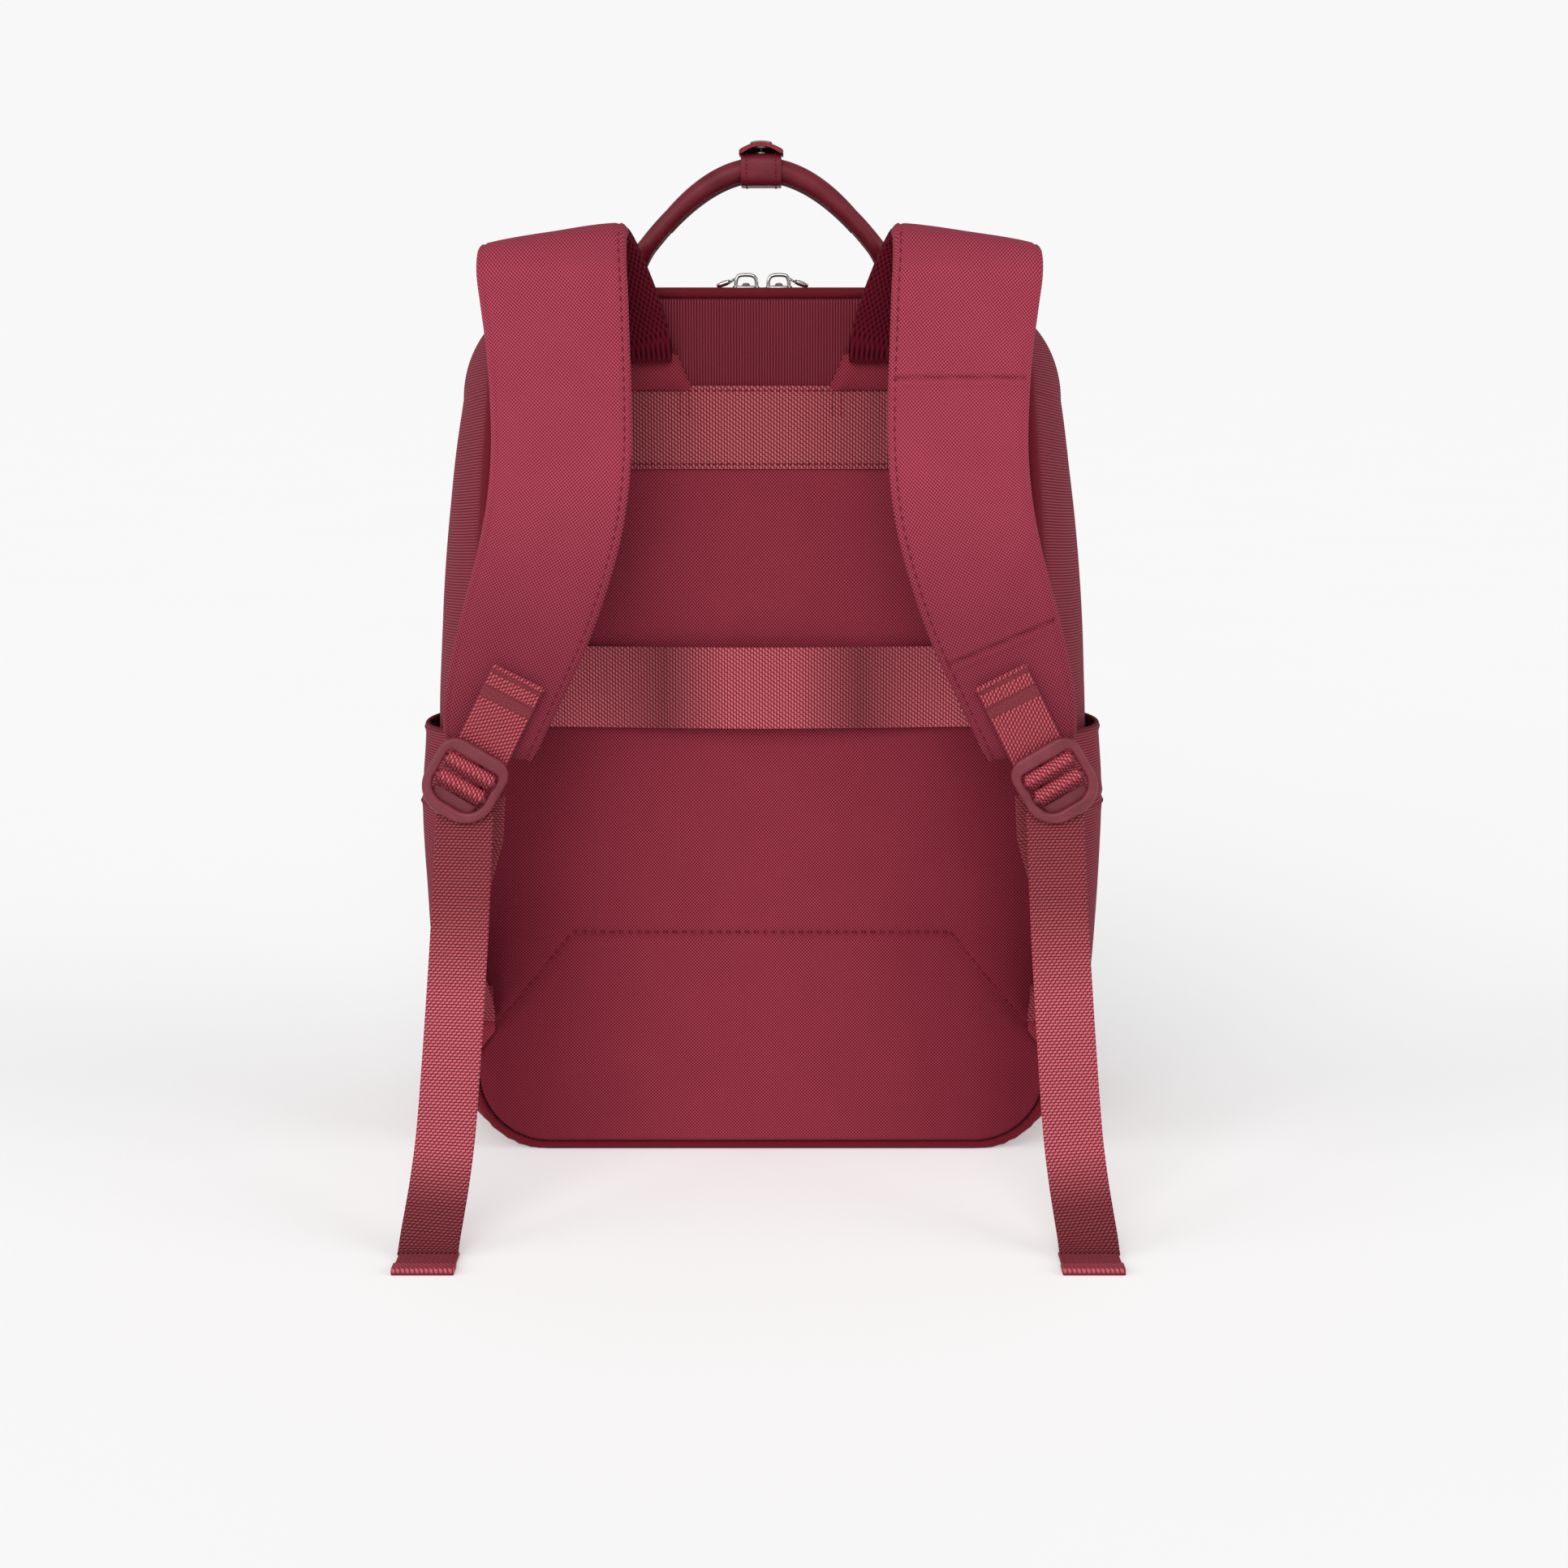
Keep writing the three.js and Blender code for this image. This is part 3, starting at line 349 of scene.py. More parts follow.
MESH = spacer_mesh("spacer_mesh", (0.125, 0.006, 0.017), (0.02, 0.0008, 0.0025))
LEATHER = leather("leather", (0.18, 0.016, 0.029), (0.12, 0.009, 0.018))
EDGE_PAINT = leather("leather_edge", (0.30, 0.02, 0.035), (0.22, 0.014, 0.024))
PLASTIC = moulded("buckle_plastic", (0.20, 0.026, 0.04), (0.14, 0.015, 0.025))
CHROME = chrome_with_painted_reflection("chrome", (0.92, 0.91, 0.90))
THREAD = thread("thread", (0.26, 0.012, 0.03), (0.07, 0.002, 0.007))
STRAP_THREAD = thread("strap_thread", (0.22, 0.016, 0.034), (0.10, 0.006, 0.014))
DARK_THREAD = thread("dark_thread", (0.09, 0.006, 0.014), (0.03, 0.001, 0.003))
COIL = thread("zip_coil", (0.16, 0.014, 0.026), (0.06, 0.004, 0.01))
LINING = plain_weave_in_space("lining", (0.10, 0.085, 0.09), (0.03, 0.026, 0.028), 2.2)
BOARD = plain_weave_in_space("board", (0.05, 0.05, 0.052), (0.025, 0.025, 0.027), 3.0)


# ---- mesh building ----
def mend(mesh, merge=0.0, outward=True):
    """Merges points closer than a distance in metres, and turns the faces outwards."""
    work = bmesh.new()
    work.from_mesh(mesh)
    if merge:
        bmesh.ops.remove_doubles(work, verts=work.verts, dist=merge)
    if outward:
        bmesh.ops.recalc_face_normals(work, faces=work.faces)
    work.to_mesh(mesh)
    work.free()


def run_lengths(points):
    """The distance along a run of points, at each point."""
    return np.concatenate([[0], np.cumsum(np.linalg.norm(np.diff(points, axis=0), axis=1))])


def wrap(row):
    """A ring's row of coordinates, with its first one again at its end."""
    return row + [row[0]]


def round_angles(sides):
    return np.linspace(0, 2 * math.pi, sides, endpoint=False)


def arc(x, y, radius, start, steps):
    """A quarter turn of (x, y) points about a centre, from a start angle in degrees."""
    angles = [math.radians(start + 90 * k / steps) for k in range(steps + 1)]
    return [(x + radius * math.cos(a), y + radius * math.sin(a)) for a in angles]


def build(name, points, faces, uvs, materials, slots=None, sharp=None):
    """A mesh object from points in mm. uvs holds one (u, v) for each corner of each face."""
    mesh = bpy.data.meshes.new(name)
    shifted = [(x * MM, (y + DEPTH_SHIFT) * MM, z * MM) for x, y, z in points]
    mesh.from_pydata(shifted, [], faces)
    layer = mesh.uv_layers.new(name="cloth")
    layer.data.foreach_set("uv", np.array([c for face in uvs for c in face], np.float32).ravel())
    if slots:
        mesh.polygons.foreach_set("material_index", slots)
    mend(mesh)
    for material in materials:
        mesh.materials.append(material)
    mesh.polygons.foreach_set("use_smooth", [True] * len(mesh.polygons))
    if sharp:
        mesh.set_sharp_from_angle(angle=math.radians(sharp))
    mesh.update()
    obj = bpy.data.objects.new(name, mesh)
    bpy.context.scene.collection.objects.link(obj)
    return obj


def sheet(name, outer, inner, uv, materials, inner_slot=0, sharp=50, face_slot=None):
    """A closed sheet between two equal grids. uv is a grid of (u, v)."""
    outer, inner = np.asarray(outer, float), np.asarray(inner, float)
    rows, columns = outer.shape[:2]
    at = lambda side, i, j: (side * rows + i) * columns + j
    faces, uvs, slots = [], [], []

    def add(corners, slot):
        faces.append([at(*c) for c in corners])
        uvs.append([uv[c[1]][c[2]] for c in corners])
        slots.append(slot)

    for i in range(rows - 1):
        for j in range(columns - 1):
            slot = face_slot(outer[i, j]) if face_slot else 0
            add([(0, i, j), (0, i + 1, j), (0, i + 1, j + 1), (0, i, j + 1)], slot)
            add([(1, i, j), (1, i, j + 1), (1, i + 1, j + 1), (1, i + 1, j)], inner_slot)
    r, c = rows - 1, columns - 1
    for i in range(r):
        add([(0, i, 0), (1, i, 0), (1, i + 1, 0), (0, i + 1, 0)], 0)
        add([(0, i, c), (0, i + 1, c), (1, i + 1, c), (1, i, c)], 0)
    for j in range(c):
        add([(0, 0, j), (0, 0, j + 1), (1, 0, j + 1), (1, 0, j)], 0)
        add([(0, r, j + 1), (0, r, j), (1, r, j), (1, r, j + 1)], 0)
    points = np.concatenate([outer.reshape(-1, 3), inner.reshape(-1, 3)])
    return build(name, points, faces, uvs, materials, slots, sharp=sharp)


def loft(name, rings, uv, materials, closed=False, sharp=None, slot_of=None):
    """A solid through rings of equal length. uv is a grid with one more column than the rings have points."""
    rings = np.asarray(rings, float)
    count, size = rings.shape[:2]
    points = list(rings.reshape(-1, 3))
    faces, uvs, slots = [], [], []
    for i in range(count if closed else count - 1):
        n = (i + 1) % count
        for j in range(size):
            k = (j + 1) % size
            faces.append([i * size + j, n * size + j, n * size + k, i * size + k])
            top = uv[i + 1] if closed else uv[n]
            uvs.append([uv[i][j], top[j], top[j + 1], uv[i][j + 1]])
            slots.append(slot_of(i, j) if slot_of else 0)
    if not closed:
        for i in (0, count - 1):
            points.append(rings[i].mean(0))
            middle = np.mean(np.array(uv[i])[:-1], 0)
            for j in range(size):
                k = (j + 1) % size
                faces.append([len(points) - 1, i * size + j, i * size + k])
                uvs.append([middle, uv[i][j], uv[i][j + 1]])
                slots.append(0)
    return build(name, points, faces, uvs, materials, slots, sharp=sharp)


def spline(points, count):
    """Catmull-Rom through the points, evenly spaced along its length. Extra columns are carried along."""
    points = np.asarray(points, float)
    padded = np.vstack([2 * points[0] - points[1], points, 2 * points[-1] - points[-2]])
    dense = []
    for i in range(1, len(padded) - 2):
        a, b, c, d = padded[i - 1:i + 3]
        for t in np.linspace(0, 1, 24, endpoint=False):
            dense.append(0.5 * (2 * b + (c - a) * t + (2 * a - 5 * b + 4 * c - d) * t ** 2
                                + (3 * b - a - 3 * c + d) * t ** 3))
    dense.append(points[-1])
    dense = np.array(dense)
    lengths = run_lengths(dense[:, :3])
    even = np.linspace(0, lengths[-1], count)
    return np.stack([np.interp(even, lengths, dense[:, k]) for k in range(dense.shape[1])], 1), even


def unit(v):
    return v / np.linalg.norm(v, axis=-1, keepdims=True)


def frames(path, across):
    """Along, across and through directions at each point of a path."""
    along = unit(np.gradient(path, axis=0))
    across = across - along * np.sum(across * along, 1, keepdims=True)
    across = unit(across)
    return along, across, np.cross(across, along)


def ribbon(name, path, across, section_of, materials, sharp=60):
    """A strip along a path. section_of(i, v) gives its closed section as (across, through) points in mm."""
    path = np.asarray(path, float)
    _, across, through = frames(path, across)
    rings, uv = [], []
    for i, v in enumerate(run_lengths(path)):
        section = np.asarray(section_of(i, v), float)
        rings.append(path[i] + section[:, :1] * across[i] + section[:, 1:] * through[i])
        uv.append(wrap([(s[0], v) for s in section]))
    return loft(name, rings, uv, materials, sharp=sharp)


def tube(name, path, radius, material, sides=12, closed=False, up=(0, 0, 1)):
    """A round cord, open or closed on itself."""
    path = np.asarray(path, float)
    if closed:
        along = unit(np.roll(path, -1, 0) - np.roll(path, 1, 0))
    else:
        along = unit(np.gradient(path, axis=0))
    side = unit(np.cross(along, np.array(up, float)))
    other = np.cross(side, along)
    steps = run_lengths(path)
    total = steps[-1] + np.linalg.norm(path[0] - path[-1])
    rings, uv = [], []
    angles = round_angles(sides)
    for i in range(len(path)):
        rings.append([path[i] + radius * (math.cos(a) * side[i] + math.sin(a) * other[i]) for a in angles])
        uv.append([(radius * a, steps[i]) for a in [*angles, 2 * math.pi]])
    if closed:
        uv.append([(u, total) for u, _ in uv[0]])
    return loft(name, rings, uv, [material], closed=closed)


def box_ring(half_x, half_y, corner, steps=4):
    """A rectangle with round corners, as (x, y) points."""
    points = []
    for sx, sy, start in ((1, -1, -90), (1, 1, 0), (-1, 1, 90), (-1, -1, 180)):
        points += arc(sx * (half_x - corner), sy * (half_y - corner), corner, start, steps)
    return points


def stitches(name, runs, length, pitch, radius, material):
    """Rows of separate stitches. Each run is a list of points, and the thread lies on it."""
    points, faces, uvs = [], [], []
    for run in runs:
        run = np.asarray(run, float)
        lengths = run_lengths(run)
        place = lambda s: np.array([np.interp(s, lengths, run[:, k]) for k in range(3)])
        for n in range(int((lengths[-1] - length) / pitch) + 1):
            a, b = place(n * pitch), place(n * pitch + length)
            axis = unit(b - a)
            side = unit(np.cross(axis, (0.31, 0.52, 0.79)))
            other = np.cross(side, axis)
            base = len(points)
            points.append(a)
            for t in (0.2, 0.8):
                points += [a + (b - a) * t + radius * (math.cos(q) * side + math.sin(q) * other)
                           for q in round_angles(6)]
            points.append(b)
            for k in range(6):
                m = (k + 1) % 6
                faces.append([base, base + 1 + m, base + 1 + k])
                faces.append([base + 1 + k, base + 1 + m, base + 7 + m, base + 7 + k])
                faces.append([base + 13, base + 7 + k, base + 7 + m])
    uvs = [[(points[i][0], points[i][2]) for i in face] for face in faces]
    return build(name, points, faces, uvs, [material])


def extruded(name, outline, holes, depth, bevel, material, frame_of, segments=3):
    """A plate with holes, bevelled round its edges. frame_of turns a local (x, y, z) in mm into the model's."""
    curve = bpy.data.curves.new(name, "CURVE")
    curve.dimensions = "2D"
    curve.fill_mode = "BOTH"
    for ring in [outline, *holes]:
        line = curve.splines.new("POLY")
        line.points.add(len(ring) - 1)
        for point, (x, y) in zip(line.points, ring):
            point.co = (x, y, 0, 1)
        line.use_cyclic_u = True
    curve.extrude = depth / 2 - bevel
    curve.bevel_depth = bevel
    curve.bevel_resolution = segments
    curve.offset = -bevel
    holder = bpy.data.objects.new(name + "_outline", curve)
    bpy.context.scene.collection.objects.link(holder)
    bpy.context.view_layer.update()
    mesh = bpy.data.meshes.new_from_object(holder)
    bpy.data.objects.remove(holder)
    points = [frame_of(*v.co) for v in mesh.vertices]
    faces = [list(p.vertices) for p in mesh.polygons]
    flat = [(v.co.x, v.co.y) for v in mesh.vertices]
    uvs = [[flat[i] for i in face] for face in faces]
    bpy.data.meshes.remove(mesh)
    obj = build(name, points, faces, uvs, [material], sharp=38)
    mend(obj.data, merge=0.00002)
    return obj


def mirrored(points, side):
    """Points made for the left side, on the side wanted."""
    return np.asarray(points, float) * np.array([1 if side < 0 else -1, 1, 1])


def piece(obj, body, slot, *nodes):
    """Hides the CAD nodes that a piece stands for, and attaches it to its body, unless it is blended. Its slot
    is not used.
    """
    if nodes:
        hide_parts(*nodes)
    if body:
        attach(obj, body)
    return obj


def ripple(x, y, z, size, seed=0.0):
    """Smooth unevenness of cloth, from -1 to 1."""
    return noise.noise(Vector((x / size + seed, y / size - seed, z / size + 2 * seed)))


# ---- the shell's surface ----
def outline_point(outline, share, inset):
    """The outline's (x, z) at a share of the way up one side, from its base's middle to its top's middle.

    Negative shares, and shares past 1, lie on the left side.
    """
    wrapped = share - 2 if share > 1 else share
    side = -1 if wrapped < 0 else 1
    s = abs(wrapped)
    base_radius = outline["base_radius"] - inset
    top_radius = outline["top_radius"] - inset
    base_x = outline["base"] - outline["base_radius"]
    top_x = outline["top"] - outline["top_radius"]
    top_z = outline["height"] - outline["top_radius"]
    if s <= BASE_FLAT_END:
        x, z = base_x * s / BASE_FLAT_END, inset
    elif s <= BASE_CORNER_END:
        angle = (s - BASE_FLAT_END) / (BASE_CORNER_END - BASE_FLAT_END) * math.pi / 2
        x, z = base_x + base_radius * math.sin(angle), outline["base_radius"] - base_radius * math.cos(angle)
    elif s <= SIDE_END:
        t = (s - BASE_CORNER_END) / (SIDE_END - BASE_CORNER_END)
        x = outline["base"] + (outline["top"] - outline["base"]) * t + outline["bow"] * 4 * t * (1 - t) - inset
        z = outline["base_radius"] + (top_z - outline["base_radius"]) * t
    elif s <= TOP_CORNER_END:
        angle = (s - SIDE_END) / (TOP_CORNER_END - SIDE_END) * math.pi / 2
        x, z = top_x + top_radius * math.cos(angle), top_z + top_radius * math.sin(angle)
    else:
        x, z = top_x * (1 - (s - TOP_CORNER_END) / (1 - TOP_CORNER_END)), outline["height"] - inset
    return side * x, z


def shell_point(share, y, inset):
    """The shell's surface at a share and a depth: it widens from the rear outline to the wide one."""
    flare = math.sin(math.pi / 2 * min(1, max(0, y / WIDEST_Y)))
    rear = np.array(outline_point(REAR_OUTLINE, share, inset))
    wide = np.array(outline_point(WIDE_OUTLINE, share, inset))
    x, z = rear + (wide - rear) * flare
    return np.array([x, y, z])


def spread(start, end):
    """Shares of the outline, dense on its round stretches."""
    marks = [(0, 26), (BASE_FLAT_END, 20), (BASE_CORNER_END, 64), (SIDE_END, 26), (TOP_CORNER_END, 22)]
    half = []
    for i, (low, count) in enumerate(marks):
        high = marks[i + 1][0] if i + 1 < len(marks) else 1
        half += list(np.linspace(low, high, count, endpoint=False))
    every = [-s for s in half[:0:-1]] + half + [1] + [2 - s for s in half[:0:-1]]
    inside = [s for s in every if start + 0.002 < s < end - 0.002]
    return [start, *inside, end]


def along_outline(shares, y=60):
    points = [shell_point(s, y, 0) for s in shares]
    return run_lengths(points)


def share_at_height(height):
    """The share at which the outline's straight side has a height."""
    low, high = WIDE_OUTLINE["base_radius"], WIDE_OUTLINE["height"] - WIDE_OUTLINE["top_radius"]
    return BASE_CORNER_END + (SIDE_END - BASE_CORNER_END) * (height - low) / (high - low)


# ---- back panel ----
UPPER_BAND_Z = 347.5
TROLLEY_BAND_Z = 227
TRAPEZOID = [(-136, 50.5), (-90, 107.5), (90, 107.5), (136, 50.5)]
PANEL_INSET = 3.6


def distance_to_line(points, line):
    """Distance from each (x, z) point to an open line of points."""
    best = np.full(len(points), 1e9)
    for a, b in zip(line[:-1], line[1:]):
        a, b = np.array(a, float), np.array(b, float)
        t = np.clip(((points - a) @ (b - a)) / max(1e-9, (b - a) @ (b - a)), 0, 1)
        best = np.minimum(best, np.linalg.norm(points - (a + t[:, None] * (b - a)), axis=1))
    return best


def bell(distance, width):
    return np.exp(-(np.asarray(distance) / width) ** 2)


def panel_face():
    """The panel's front surface as a grid of rows, and its rim."""
    rim_shares = np.linspace(0, 1, 400)
    rim = np.array([outline_point(REAR_OUTLINE, s, PANEL_INSET) for s in rim_shares])
    low, high = rim[0, 1], rim[-1, 1]
    rows = low + (high - low) * 0.5 * (1 - np.cos(np.linspace(0, math.pi, 190)))
    widths = np.array([np.interp(z, rim[:, 1], rim[:, 0]) for z in rows])
    widths[0], widths[-1] = rim[rim[:, 1] <= low + 1e-6][-1, 0], rim[rim[:, 1] >= high - 1e-6][0, 0]
    across = np.sin(np.linspace(-math.pi / 2, math.pi / 2, 131))
    x = widths[:, None] * across[None, :]
    z = np.repeat(rows[:, None], len(across), 1)
    flat = np.stack([x.ravel(), z.ravel()], 1)
    whole = [tuple(p) for p in rim] + [(-p[0], p[1]) for p in rim[::-1]]
    edge = distance_to_line(flat, whole)
    roll = 3.2
    t = np.clip(1 - edge / roll, 0, 1)
    y = 4.0 * (1 - np.sqrt(np.clip(1 - t ** 2, 0, 1)))
    band_hold = 1 - bell(flat[:, 1] - UPPER_BAND_Z, 30) - 0.9 * bell(flat[:, 1] - TROLLEY_BAND_Z, 34)
    crown = np.clip(edge / 55, 0, 1)
    y -= 3.4 * crown * (2 - crown) * np.clip(band_hold, 0, 1)
    seam = distance_to_line(flat, TRAPEZOID)
    y += 1.0 * bell(seam, 1.5) - 0.35 * bell(seam - 4.5, 3)
    pucker = np.sin(flat[:, 0] * 1.15 + flat[:, 1] * 0.9) * bell(seam - 3, 4) * 0.16
    waves = [0.5 * ripple(a, 0, b, 46) + 0.18 * ripple(a, 0, b, 15, 4.0) for a, b in flat]
    y += pucker + np.array(waves) * np.clip(edge / 20, 0, 1)
    return x, y.reshape(x.shape), z


def back_panel():
    x, y, z = panel_face()
    outer = np.stack([x, y, z], 2)
    inner = np.stack([x, np.full_like(x, PANEL_DEPTH - 0.2), z], 2)
    uv = np.stack([x, z], 2)
    above = lambda point: 1 if point[2] > UPPER_BAND_Z + 12 else 0
    obj = sheet("back_panel_cloth", outer, inner, uv, [PANEL, TOP_RIBS], sharp=60, face_slot=above)
    piece(obj, "root", "shell_fabric", "back_panel")
    runs = []
    for start, end in zip(TRAPEZOID[:-1], TRAPEZOID[1:]):
        count = 60
        line = [(start[0] + (end[0] - start[0]) * k / count, start[1] + (end[1] - start[1]) * k / count)
                for k in range(count + 1)]
        inside = [p for p in line if abs(p[0]) < 130]
        runs.append([surface_point(x, y, z, px, pz + 1.5, -0.25) for px, pz in inside])
    piece(stitches("panel_stitches", runs, 2.9, 4.3, 0.42, THREAD), "root", "shell_fabric")


def surface_point(x, y, z, px, pz, lift):
    """The point of the panel's face at (px, pz), lifted off it."""
    row = int(np.argmin(np.abs(z[:, 0] - pz)))
    depth = np.interp(px, x[row], y[row])
    return np.array([px, depth + lift, pz])


def panel_binding():
    """The taped seam that joins the panel to the walls, all round the outline."""
    shares = spread(-1, 1)[:-1]
    lengths = along_outline(shares, 2)
    rings, uv = [], []
    sides = 14
    for share, v in zip(shares, lengths):
        corner = abs(abs(share) - 0.21) < 0.055
        fold = 0.3 * math.sin(abs(share) * 520) if corner else 0.0
        row, coordinates = [], []
        for angle in round_angles(sides):
            inset = 1.7 - (2.7 + fold) * math.cos(angle)
            y = 4.4 + 4.0 * math.sin(angle)
            point = shell_point(share, y, inset)
            point[2] = max(LOWEST + 0.05, point[2])
            row.append(point)
            coordinates.append(((angle - math.pi) * 3.0, v))
        rings.append(row)
        uv.append(coordinates + [(math.pi * 3.0, v)])
    total = lengths[-1] + np.linalg.norm(shell_point(shares[0], 2, 0) - shell_point(shares[-1], 2, 0))
    uv.append([(u, total) for u, _ in uv[0]])
    obj = loft("panel_binding", rings, uv, [TAPE], closed=True)
    piece(obj, "root", "zip_tape")
    line = [shell_point(s, 1.4, 3.8) for s in spread(-1, 1)]
    piece(stitches("binding_stitches", [line], 1.1, 1.7, 0.4, DARK_THREAD), "root", "shell_fabric")


# ---- walls ----
def wall_band(name, start, end, profile, materials, puff, seed):
    """A stretch of the shell between two shares. profile lists (y, inset, inner y, inner inset)."""
    shares = spread(start, end)
    lengths = along_outline(shares)
    profile = np.array(profile, float)
    first, last = profile[0, 0], profile[-1, 0]
    outer, inner, uv = [], [], []
    for share, v in zip(shares, lengths):
        row, back, coordinates = [], [], []
        run = 0.0
        for k, (y, inset, inner_y, inner_inset) in enumerate(profile):
            t = (y - first) / (last - first)
            point = shell_point(share, y, inset)
            swell = puff * math.sin(math.pi * min(1, max(0, t))) ** 0.6
            swell += 0.55 * ripple(point[0], point[1], point[2], 38, seed) * math.sin(math.pi * t)
            skin = shell_point(share, y, inset - swell)
            skin[2] = max(LOWEST, skin[2])
            row.append(skin)
            back.append(shell_point(share, inner_y, inner_inset))
            run += np.linalg.norm(row[-1] - row[-2]) if k else 0
            coordinates.append((run, v))
        outer.append(row)
        inner.append(back)
        uv.append(coordinates)
    return sheet(name, outer, inner, uv, materials, inner_slot=1)


def rolled_edge(low):
    """How far a wall's edge turns in beside the panel, as (y, inset)."""
    return [(low, 2.2), (low + 0.8, 1.0), (low + 2, 0.3)]


def walls():
    low, high = PANEL_DEPTH + GAP, ZIP_Y - TAPE_WIDTH - GAP
    insets = rolled_edge(low) + [(y, 0) for y in np.linspace(low + 4, high - 3, 22)]
    insets += [(high - 1, 0.2), (high, 0.9)]
    profile = [(y, inset, y, SKIN) for y, inset in insets]
    parts = [("side_gusset_left", 2 - SIDE_END, 2 - FOLD_SHARE), ("side_gusset_right", FOLD_SHARE, SIDE_END),
             ("top_gusset", SIDE_END, 2 - SIDE_END)]
    for node, start, end in parts:
        obj = wall_band(node + "_cloth", start, end, profile, [RIBBED, LINING], 0.5, 1)
        piece(obj, "root", "shell_fabric", node)


def rounded_profile(start):
    """The wall's profile from a depth to the front face, round its edge."""
    turn = FRONT_Y - FRONT_ROUND
    profile = [(y, 0, y, SKIN) for y in np.linspace(start, turn - 1, 5)]
    for angle in np.linspace(0, math.pi / 2, 12):
        profile.append((turn + FRONT_ROUND * math.sin(angle), FRONT_ROUND * (1 - math.cos(angle)),
                        turn + (FRONT_ROUND - SKIN) * math.sin(angle),
                        SKIN + (FRONT_ROUND - SKIN) * (1 - math.cos(angle))))
    return profile


def base():
    low = PANEL_DEPTH + GAP
    insets = rolled_edge(low) + [(y, 0) for y in np.linspace(low + 5, ZIP_Y, 16)]
    profile = [(y, inset, y, SKIN) for y, inset in insets] + rounded_profile(ZIP_Y + 4)
    obj = wall_band("base_cloth", -FOLD_SHARE, FOLD_SHARE, profile, [BASE_WEAVE, LINING], 0.0, 7)
    piece(obj, "root", "base_fabric", "base_panel")


def front_plate(name, start, end, material, body, node, puff):
    """The flat front inside its rounded edge, as rows between the two sides of the outline."""
    inset = FRONT_ROUND + 0.4
    shares = spread(max(start, 0), min(end, 1))
    rim = np.array([shell_point(s, WIDEST_Y, inset) for s in shares])
    order = np.argsort(rim[:, 2], kind="stable")
    low, high = rim[:, 2].min(), rim[:, 2].max()
    rows = low + (high - low) * 0.5 * (1 - np.cos(np.linspace(0, math.pi, 90)))
    widths = np.interp(rows, rim[order, 2], rim[order, 0])
    if start <= 0:
        widths[0] = rim[np.abs(rim[:, 2] - low) < 1e-6][:, 0].max()
    if end >= 1:
        widths[-1] = rim[np.abs(rim[:, 2] - high) < 1e-6][:, 0].max()
    across = np.sin(np.linspace(-math.pi / 2, math.pi / 2, 71))
    x = widths[:, None] * across[None, :]
    z = np.repeat(rows[:, None], len(across), 1)
    u_rim = np.clip((1 - np.abs(across)) / 0.25, 0, 1)[None, :]
    v_rim = np.clip(np.minimum(rows - low, high - rows) / 40, 0, 1)[:, None]
    swell = puff * np.sqrt(u_rim * (2 - u_rim) * v_rim * (2 - v_rim))
    wave = np.array([[ripple(a, 3, b, 44, 9) for a, b in zip(r, s)] for r, s in zip(x, z)])
    y = FRONT_Y - 0.6 + swell + 0.5 * wave * u_rim * v_rim
    outer = np.stack([x, y, z], 2)
    inner = np.stack([x, np.full_like(x, FRONT_Y - SKIN), z], 2)
    obj = sheet(name, outer, inner, np.stack([x, z], 2), [material, LINING], inner_slot=1)
    return piece(obj, body, "shell_fabric", node)


def cover():
    edge = ZIP_Y + TAPE_WIDTH + GAP
    profile = [(edge, 0.9, edge, SKIN), (edge + 1, 0.2, edge + 1, SKIN)] + rounded_profile(edge + 2)
    low, high = FOLD_SHARE + 0.0008, 2 - FOLD_SHARE - 0.0008
    obj = wall_band("cover_wall_cloth", low, high, profile, [RIBBED, LINING], 0.0, 12)
    piece(obj, "front_cover", "shell_fabric", "cover_gusset")
    front = front_plate("front_panel_cloth", low, 1, PANEL, "front_cover", "front_panel", 1.4)
    front_plate("lower_front_cloth", 0, FOLD_SHARE, BASE_WEAVE, "root", "lower_front_panel", 0.2)
    fold = 0.006
    for name, body, start, end in (("cover_piping", "front_cover", low, high),
                                   ("base_piping", "root", -FOLD_SHARE, FOLD_SHARE)):
        ring = [shell_point(s, WIDEST_Y, FRONT_ROUND) * (1, 0, 1) + (0, FRONT_Y - 0.2, 0)
                for s in spread(start + fold, end - fold)]
        piece(tube(name, ring, 1.7, TAPE, up=ACROSS_Y), body, "zip_tape")


# ---- main zip ----
def zip_halves():
    low, high = FOLD_SHARE + 0.0008, 2 - FOLD_SHARE - 0.0008
    for node, body, side in (("zip_tape_rear", "root", -1), ("zip_tape_front", "front_cover", 1)):
        far, near = ZIP_Y + side * TAPE_WIDTH, ZIP_Y + side * 1.4
        profile = [(y, 0.5, y, 1.7) for y in np.linspace(far, near, 8)]
        tape = wall_band(node + "_cloth", low, high, profile, [ZIP_TAPE, ZIP_TAPE], 0.0, 3)
        piece(tape, body, "zip_tape", node)
        shares = np.linspace(low, high, 1600)
        line = np.array([shell_point(s, ZIP_Y + side * 1.5, -0.55) for s in shares])
        lengths = run_lengths(line)
        runs = []
        pitch = 1.9
        for n in range(int(lengths[-1] / pitch)):
            s = (n + (0.5 if side > 0 else 0)) * pitch
            share = np.interp(s, lengths, shares)
            foot, tip = ZIP_Y + side * 2.6, ZIP_Y + side * 0.2
            runs.append([shell_point(share, foot, -0.5), shell_point(share, tip, -0.6)])
        piece(stitches(node + "_coil", runs, 2.3, 2.4, 0.62, COIL), body, "zip_tape")
        sewn = [shell_point(s, ZIP_Y + side * 5.6, -0.15) for s in shares]
        piece(stitches(node + "_stitches", [sewn], 2.2, 3.4, 0.3, THREAD), body, "zip_tape")


